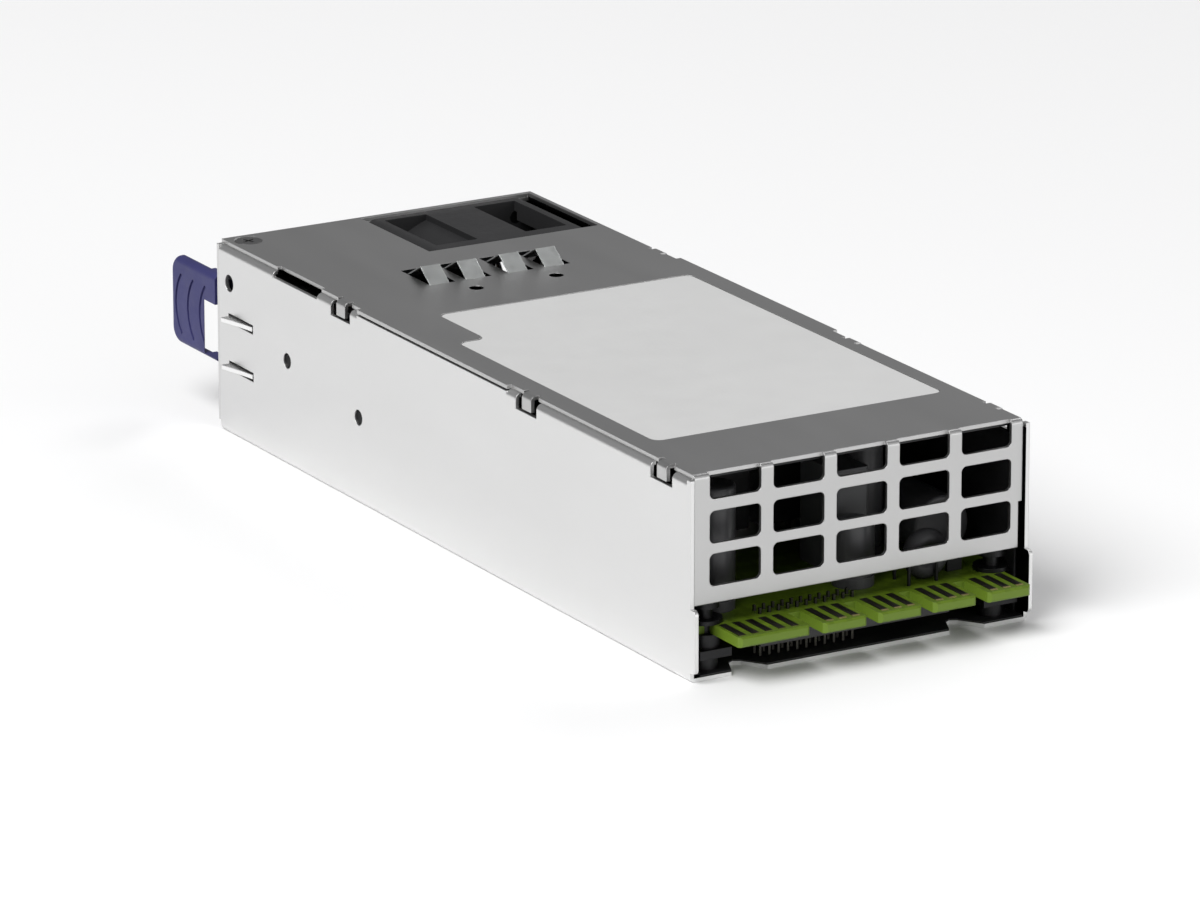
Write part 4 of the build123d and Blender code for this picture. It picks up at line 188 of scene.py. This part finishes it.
# Materials
def sheet_steel(name, shade, painted_shade_boxes, lit_cut_boxes=()):
    """Satin zinc-plated sheet with rolled grain and fine scuffs, with painted shade where it faces the
    inside, and duller cut edges painted pale as painted light.
    """
    # Painted shade: near-black colour for the faces inside the case
    painted_shade_colour = (0.008, 0.008, 0.009)
    # Painted light: pale colour for the cut edges, which are also made duller and less metallic
    cut_colour = (0.8, 0.8, 0.795)
    look = Look(name, (shade, shade, shade * STEEL_BLUE_SHARE), roughness=0.36, metallic=1.0)
    clouds = look.noise(38.0, detail=4.0, stretch=(1.0, 0.5, 1.0), distortion=0.4)
    surface = look.tint(clouds, 0.012)
    # Painted shade inside the boxes
    surface = look.mix(look.within(painted_shade_boxes), surface, painted_shade_colour)
    # Cut edges: duller, and painted pale as painted light
    if lit_cut_boxes:
        cut = look.within(lit_cut_boxes)
        surface = look.mix(cut, surface, cut_colour)
        look.finish("Metallic", look.spread(cut, low=1.0, high=0.15, start=0.0, end=1.0))
    look.finish("Base Color", surface)
    look.rough(look.noise(120.0, stretch=(1.0, 0.2, 1.0)), 0.02)
    grain = look.noise(900.0, stretch=(1.0, 0.03, 1.0))
    scuffs = look.noise(260.0, detail=6.0, stretch=(0.12, 1.0, 1.0), distortion=1.2)
    scuffs = look.spread(scuffs, high=0.5, start=0.62, end=0.8)
    scuff_share = 0.7
    look.relief(look.joined("MULTIPLY_ADD", scuffs, scuff_share, grain), depth=0.004, edge=0.22)
    return look.material


def bright_metal(name, colour, roughness, depth=0.006):
    """Plated or turned metal with fine handling marks."""
    look = Look(name, colour, roughness, metallic=1.0)
    look.tint(look.noise(210.0, detail=4.0), 0.04)
    look.rough(look.noise(700.0), 0.04)
    look.relief(look.noise(980.0, detail=2.0), depth, edge=0.12)
    return look.material


def moulded(name, colour, roughness, grain=1400.0, depth=0.02, gloss=0.45, painted_shade_boxes=()):
    """Moulded plastic with a fine eroded texture, with painted shade where it lies inside the case."""
    look = Look(name, colour, roughness)
    surface = look.tint(look.noise(90.0), 0.08)
    if painted_shade_boxes:
        # Painted shade: a small share of the colour inside the boxes
        painted_shade = [part * PAINTED_SHADE_SHARE for part in colour]
        look.finish("Base Color", look.mix(look.within(painted_shade_boxes), surface, painted_shade))
    look.rough(look.noise(220.0, detail=4.0), 0.06)
    look.relief(look.noise(grain, detail=2.0), depth, edge=0.2)
    look.finish("Specular IOR Level", gloss)
    return look.material


def label_film():
    """Blank matte film with a faint fibre texture and slight handling haze."""
    look = Look("LabelFilm", (0.61, 0.61, 0.605), roughness=0.5)
    look.tint(look.noise(24.0, detail=5.0), 0.015)
    look.rough(look.noise(150.0, detail=4.0), 0.06)
    look.relief(look.noise(2600.0, detail=2.0), depth=0.005)
    look.finish("Specular IOR Level", 0.4)
    return look.material


def lining_film():
    """Black insulating sheet, slightly wavy."""
    look = Look("LiningFilm", (0.012, 0.012, 0.013), roughness=0.55)
    look.tint(look.noise(60.0), 0.3)
    look.rough(look.noise(200.0), 0.08)
    look.relief(look.noise(45.0, detail=2.0), depth=0.2)
    return look.material


def board_mask():
    """Solder mask over a laminate, with buried traces as broad lanes and plain paler cut edges."""
    weave_colour = (0.118, 0.186, 0.013)
    cut_colour = (0.125, 0.2, 0.017)
    look = Look("BoardMask", (0.11, 0.175, 0.01), roughness=0.45)
    lanes = look.node("ShaderNodeTexBrick", {
        "Vector": look.place((1.0, 0.35, 1.0)),
        "Scale": 130.0,
        "Mortar Size": 0.08,
        "Color1": (0.084, 0.138, 0.007),
        "Color2": (0.096, 0.155, 0.008),
        "Mortar": (0.068, 0.114, 0.005),
    })
    weave = look.noise(1500.0, detail=2.0, stretch=(1.0, 1.0, 0.3))
    face = look.mix(look.spread(weave, high=0.35), lanes.outputs["Color"], weave_colour)
    normal = look.node("ShaderNodeNewGeometry").outputs["Normal"]
    level = look.joined("ABSOLUTE", look.axes(normal)["Z"])
    look.finish("Base Color", look.mix(level, cut_colour, face))
    look.rough(look.noise(300.0), 0.06)
    look.relief(look.noise(800.0), depth=0.01, edge=0.08)
    look.finish("Specular IOR Level", 0.3)
    return look.material


def contact_strip():
    """Plated contact, painted near-black with faint streaks along its length as painted shade, and gold at
    its near end.
    """
    # Painted shade: near-black tones along the contact, with faint streaks
    shade_dark = (0.014, 0.013, 0.01)
    shade_pale = (0.04, 0.037, 0.028)
    bright = (0.46, 0.38, 0.17)
    look = Look("ContactStrip", (0.09, 0.08, 0.055), roughness=0.4, metallic=0.8)
    shade_from = (CONTACT_TIP + CONTACT_SHADE_FROM) * MM
    bright_to = (CONTACT_TIP + CONTACT_BRIGHT_TO) * MM
    near = look.spread(look.axes(look.place())["Y"], start=shade_from, end=bright_to)
    streaks = look.noise(1200.0, stretch=(1.0, 0.08, 1.0))
    shaded_plating = look.mix(look.spread(streaks), shade_dark, shade_pale)
    look.finish("Base Color", look.mix(near, shaded_plating, bright))
    look.rough(streaks, 0.1)
    look.relief(look.noise(2000.0, detail=2.0), depth=0.004)
    return look.material


def copper():
    """Enamelled copper wire."""
    look = Look("CopperWire", (0.42, 0.17, 0.06), roughness=0.34, metallic=0.9)
    look.tint(look.noise(260.0), 0.18)
    look.rough(look.noise(600.0), 0.08)
    look.relief(look.noise(1100.0, detail=2.0), depth=0.01)
    look.finish("Coat Weight", 0.4)
    look.finish("Coat Roughness", 0.15)
    return look.material


def ferrite():
    """Pressed ferrite with fine pores."""
    look = Look("Ferrite", (0.022, 0.022, 0.024), roughness=0.6)
    look.tint(look.noise(160.0, detail=4.0), 0.3)
    look.rough(look.noise(400.0), 0.1)
    pores = look.node("ShaderNodeTexVoronoi", {"Vector": look.place(), "Scale": 1500.0})
    look.relief(pores.outputs["Distance"], depth=0.03, edge=0.2)
    return look.material


def clear_pipe():
    """Clear light pipe."""
    look = Look("LightPipe", (0.78, 0.86, 0.8), roughness=0.12)
    look.tint(look.noise(400.0, detail=2.0), 0.04)
    look.rough(look.noise(500.0, detail=2.0), 0.04)
    look.finish("Transmission Weight", 0.75)
    look.finish("IOR", 1.49)
    return look.material


def floor_paint():
    """Plain pale studio floor."""
    look = Look("StudioFloor", (0.96, 0.96, 0.96), roughness=0.75)
    look.tint(look.noise(2.0), 0.004)
    look.finish("Specular IOR Level", 0.2)
    return look.material


# Looks of the sheet metal, with painted shade where it faces the inside
def each_way(reach):
    """Limits that lie the same way off on both sides of the middle."""
    return -reach, reach


def grown(low, high, margin):
    """Limits moved outward by a margin."""
    return low - margin, high + margin


def chassis_steel():
    """The tray, with painted shade inside and under the cover, and a duller cut front edge of its floor
    painted pale as painted light.
    """
    # Boxes of painted shade, inside the tray and along the lips under the cover
    inside = {"X": each_way(WALL_INSIDE + SKIN), "Z": (SHEET - SKIN, LIP_UNDERSIDE - SHADE_GAP)}
    lip_shade = {"X": each_way(LIP_SHADE_SIDE), "Z": (SHEET, CASE_TOP + SHADE_GAP)}
    # Cut front edge of the floor, painted pale as painted light
    floor_front = {
        "Y": (-CASE_END - SHADE_GAP, -CASE_END + NOTCH_REACH),
        "Z": (-SHADE_GAP, SHEET - 2 * SKIN),
    }
    return sheet_steel("TraySteel", 0.74, [inside, lip_shade], [floor_front])


def cover_steel():
    """The cover, with painted shade inside and down the sides of its holes and slots, up to a thin rim that
    keeps its steel colour.
    """
    below_rim = (0.0, COVER_TOP - CUT_RIM)
    hole_y = CASE_END - HOLE_FROM_REAR
    slot_y = CASE_END - FINGER_SLOTS_FROM_REAR
    # Boxes of painted shade: inside the cover and down the walls of its holes and slots
    inside = {
        "X": each_way(COVER_SHADE_SIDE),
        "Y": (COVER_FRONT + SHEET - SKIN, CASE_END - SHADE_GAP),
        "Z": (0.0, COVER_TOP - SHEET + 2 * SKIN),
    }
    holes = [
        {"X": grown(x, x, HOLE_REACH), "Y": grown(hole_y, hole_y, HOLE_REACH), "Z": below_rim}
        for x in each_way(HOLE_SIDE)
    ]
    slots = {
        "X": grown(*FINGER_SLOT_SPAN, SKIN),
        "Y": grown(slot_y, slot_y + FINGER_SLOT_LENGTH, SKIN),
        "Z": below_rim,
    }
    return sheet_steel("CoverSteel", 0.53, [inside, *holes, slots])


def panel_steel():
    """The rear panel, with painted shade on its inner face."""
    inside = {
        "X": each_way(WALL_INSIDE - SHADE_GAP),
        "Y": (0.0, CASE_END - SHEET + SKIN),
        "Z": (PANEL_SHADE_BOTTOM, LIP_UNDERSIDE - SHADE_GAP),
    }
    return sheet_steel("PanelSteel", 0.7, [inside])


def latch_steel():
    """The latch leaf, with painted shade inside the wall, so only its barbs that stand out of the wall stay
    bright.
    """
    return sheet_steel("LatchSteel", 0.95, [{"X": (-LEAF_SHADE_FROM, 0.0)}])


def latch_blue():
    """The grip's blue plastic, with painted shade inside the case and just outside the rear panel."""
    colour = (0.036, 0.036, 0.13)
    # Box of painted shade, inside the case and just past the rear panel
    painted_shade = {"Y": (0.0, CASE_END + GRIP_SHADE_PAST_REAR)}
    return moulded("LatchBlue", colour, 0.5, grain=1200.0, depth=0.025, gloss=0.3, painted_shade_boxes=[painted_shade])


# Looks by the record's material slots, and the pieces that have one of their own
slot_looks = {
    "case_steel": chassis_steel(),
    "label_film": label_film(),
    "spring_metal": bright_metal("SpringMetal", (0.7, 0.72, 0.71), 0.32, depth=0.001),
    "lining_film": lining_film(),
    "board_green": board_mask(),
    "contact_gold": contact_strip(),
    "black_plastic": moulded("BlackPlastic", (0.02, 0.02, 0.021), 0.45),
    "fan_plastic": moulded("FanPlastic", (0.022, 0.022, 0.023), 0.5, grain=1000.0, depth=0.03, gloss=0.3),
    "screw_steel": bright_metal("ScrewSteel", (0.62, 0.62, 0.61), 0.34),
    "latch_blue": latch_blue(),
    "light_clear": clear_pipe(),
    "ferrite": ferrite(),
    "copper_wire": copper(),
    "can_sleeve": moulded("CanSleeve", (0.055, 0.055, 0.058), 0.34, grain=500.0, depth=0.01),
    "sink_aluminium": bright_metal("SinkAluminium", (0.6, 0.6, 0.6), 0.42),
    "epoxy_black": moulded("EpoxyBlack", (0.016, 0.016, 0.017), 0.55, grain=1600.0, depth=0.03),
    "box_grey": moulded("BoxGrey", (0.09, 0.092, 0.095), 0.5, grain=900.0),
    "lead_sleeve": moulded("LeadSleeve", (0.02, 0.02, 0.02), 0.6, grain=700.0),
    "fuse_ceramic": moulded("FuseCeramic", (0.66, 0.63, 0.52), 0.4, grain=900.0, depth=0.01),
}
own_looks = {
    "cover": cover_steel(),
    "rear_panel": panel_steel(),
    "latch_rivets": bright_metal("RivetBlack", (0.012, 0.012, 0.013), 0.5),
    "cover_screw": bright_metal("CoverScrewSteel", (0.24, 0.24, 0.242), 0.36),
    "header_body": moulded("HeaderBar", (0.045, 0.045, 0.046), 0.5),
    "header_pins": bright_metal("PinMetal", (0.06, 0.058, 0.05), 0.4),
    "control_card": moulded("CardDark", (0.008, 0.011, 0.006), 0.5, grain=900.0),
}
own_looks.update(dict.fromkeys(["latch_leaf_arm", "latch_leaf_root"], latch_steel()))
dark_fasteners = ["fan_screws", "choke_legs", "bus_clip", "board_screws", "board_supports", "board_washers"]
own_looks.update(dict.fromkeys(dark_fasteners, bright_metal("DarkFastener", (0.035, 0.035, 0.036), 0.45)))
slot_of = {entry["node"]: entry["material_slot"] for entry in frame["record"]["subparts"]}


def dress(piece, look):
    """Give every face of a piece one material."""
    piece.data.materials.clear()
    piece.data.materials.append(look)


for name, piece in nodes.items():
    dress(piece, own_looks.get(name, slot_looks[slot_of[name]]))


# Floor, light and camera, in metres and watts
FLOOR_HALF = 9.0
FLOOR_SQUARES = 8
WORLD_GREY = (0.225, 0.225, 0.228)
LIGHTS = [
    {"name": "key", "place": (-1.6, -0.5, 2.0), "size": (1.8, 1.8), "energy": 69.0},
    {"name": "fill", "place": (1.5, -1.9, 1.6), "size": (1.6, 1.6), "energy": 4.5},
    {"name": "front", "place": (0.7, -2.3, 0.4), "size": (1.8, 0.7), "energy": 9.0},
    {"name": "back", "place": (2.6, 1.2, 2.2), "size": (1.6, 1.6), "energy": 26.0},
]
CAMERA_PLACE = (-0.7688, -1.3172, 0.4850)
CAMERA_RIGHT = (0.8642, -0.5032, 0.0)
CAMERA_BACK = (-0.4808, -0.8258, 0.2949)
LENS_MM = 246.63
SENSOR_MM = 36.0
NEAREST = 0.1
FURTHEST = 50.0


def new_object(name, data):
    """An object in the scene that shows a mesh, a light or a camera."""
    made = bpy.data.objects.new(name, data)
    bpy.context.scene.collection.objects.link(made)
    return made


def make_floor():
    mesh = bpy.data.meshes.new("studio_floor")
    grid = bmesh.new()
    bmesh.ops.create_grid(grid, x_segments=FLOOR_SQUARES, y_segments=FLOOR_SQUARES, size=FLOOR_HALF)
    grid.to_mesh(mesh)
    grid.free()
    floor = new_object("studio_floor", mesh)
    dress(floor, floor_paint())


def make_world():
    world = bpy.data.worlds.new("studio_world")
    world.use_nodes = True
    background = world.node_tree.nodes["Background"]
    background.inputs["Color"].default_value = (*WORLD_GREY, 1.0)
    background.inputs["Strength"].default_value = 1.0
    bpy.context.scene.world = world


def make_camera():
    """The camera stands where the case's corners in the photograph put it."""
    data = bpy.data.cameras.new("photo_camera")
    data.sensor_width = SENSOR_MM
    data.lens = LENS_MM
    data.clip_start = NEAREST
    data.clip_end = FURTHEST
    camera = new_object("photo_camera", data)
    right = Vector(CAMERA_RIGHT).normalized()
    back = Vector(CAMERA_BACK).normalized()
    up = back.cross(right).normalized()
    turn = Matrix((right, up, back)).transposed()
    camera.matrix_world = Matrix.Translation(CAMERA_PLACE) @ turn.to_4x4()
    bpy.context.scene.camera = camera


def make_light(name, place, size, energy):
    """A soft rectangular light that faces the object's middle."""
    data = bpy.data.lights.new(name, "AREA")
    data.shape = "RECTANGLE"
    data.size, data.size_y = size
    data.energy = energy
    light = new_object(name, data)
    light.location = place
    light.rotation_euler = (-Vector(place)).to_track_quat("-Z", "Y").to_euler()


make_floor()
make_world()
make_camera()
for light in LIGHTS:
    make_light(**light)
bpy.context.scene.view_settings.view_transform = "Standard"
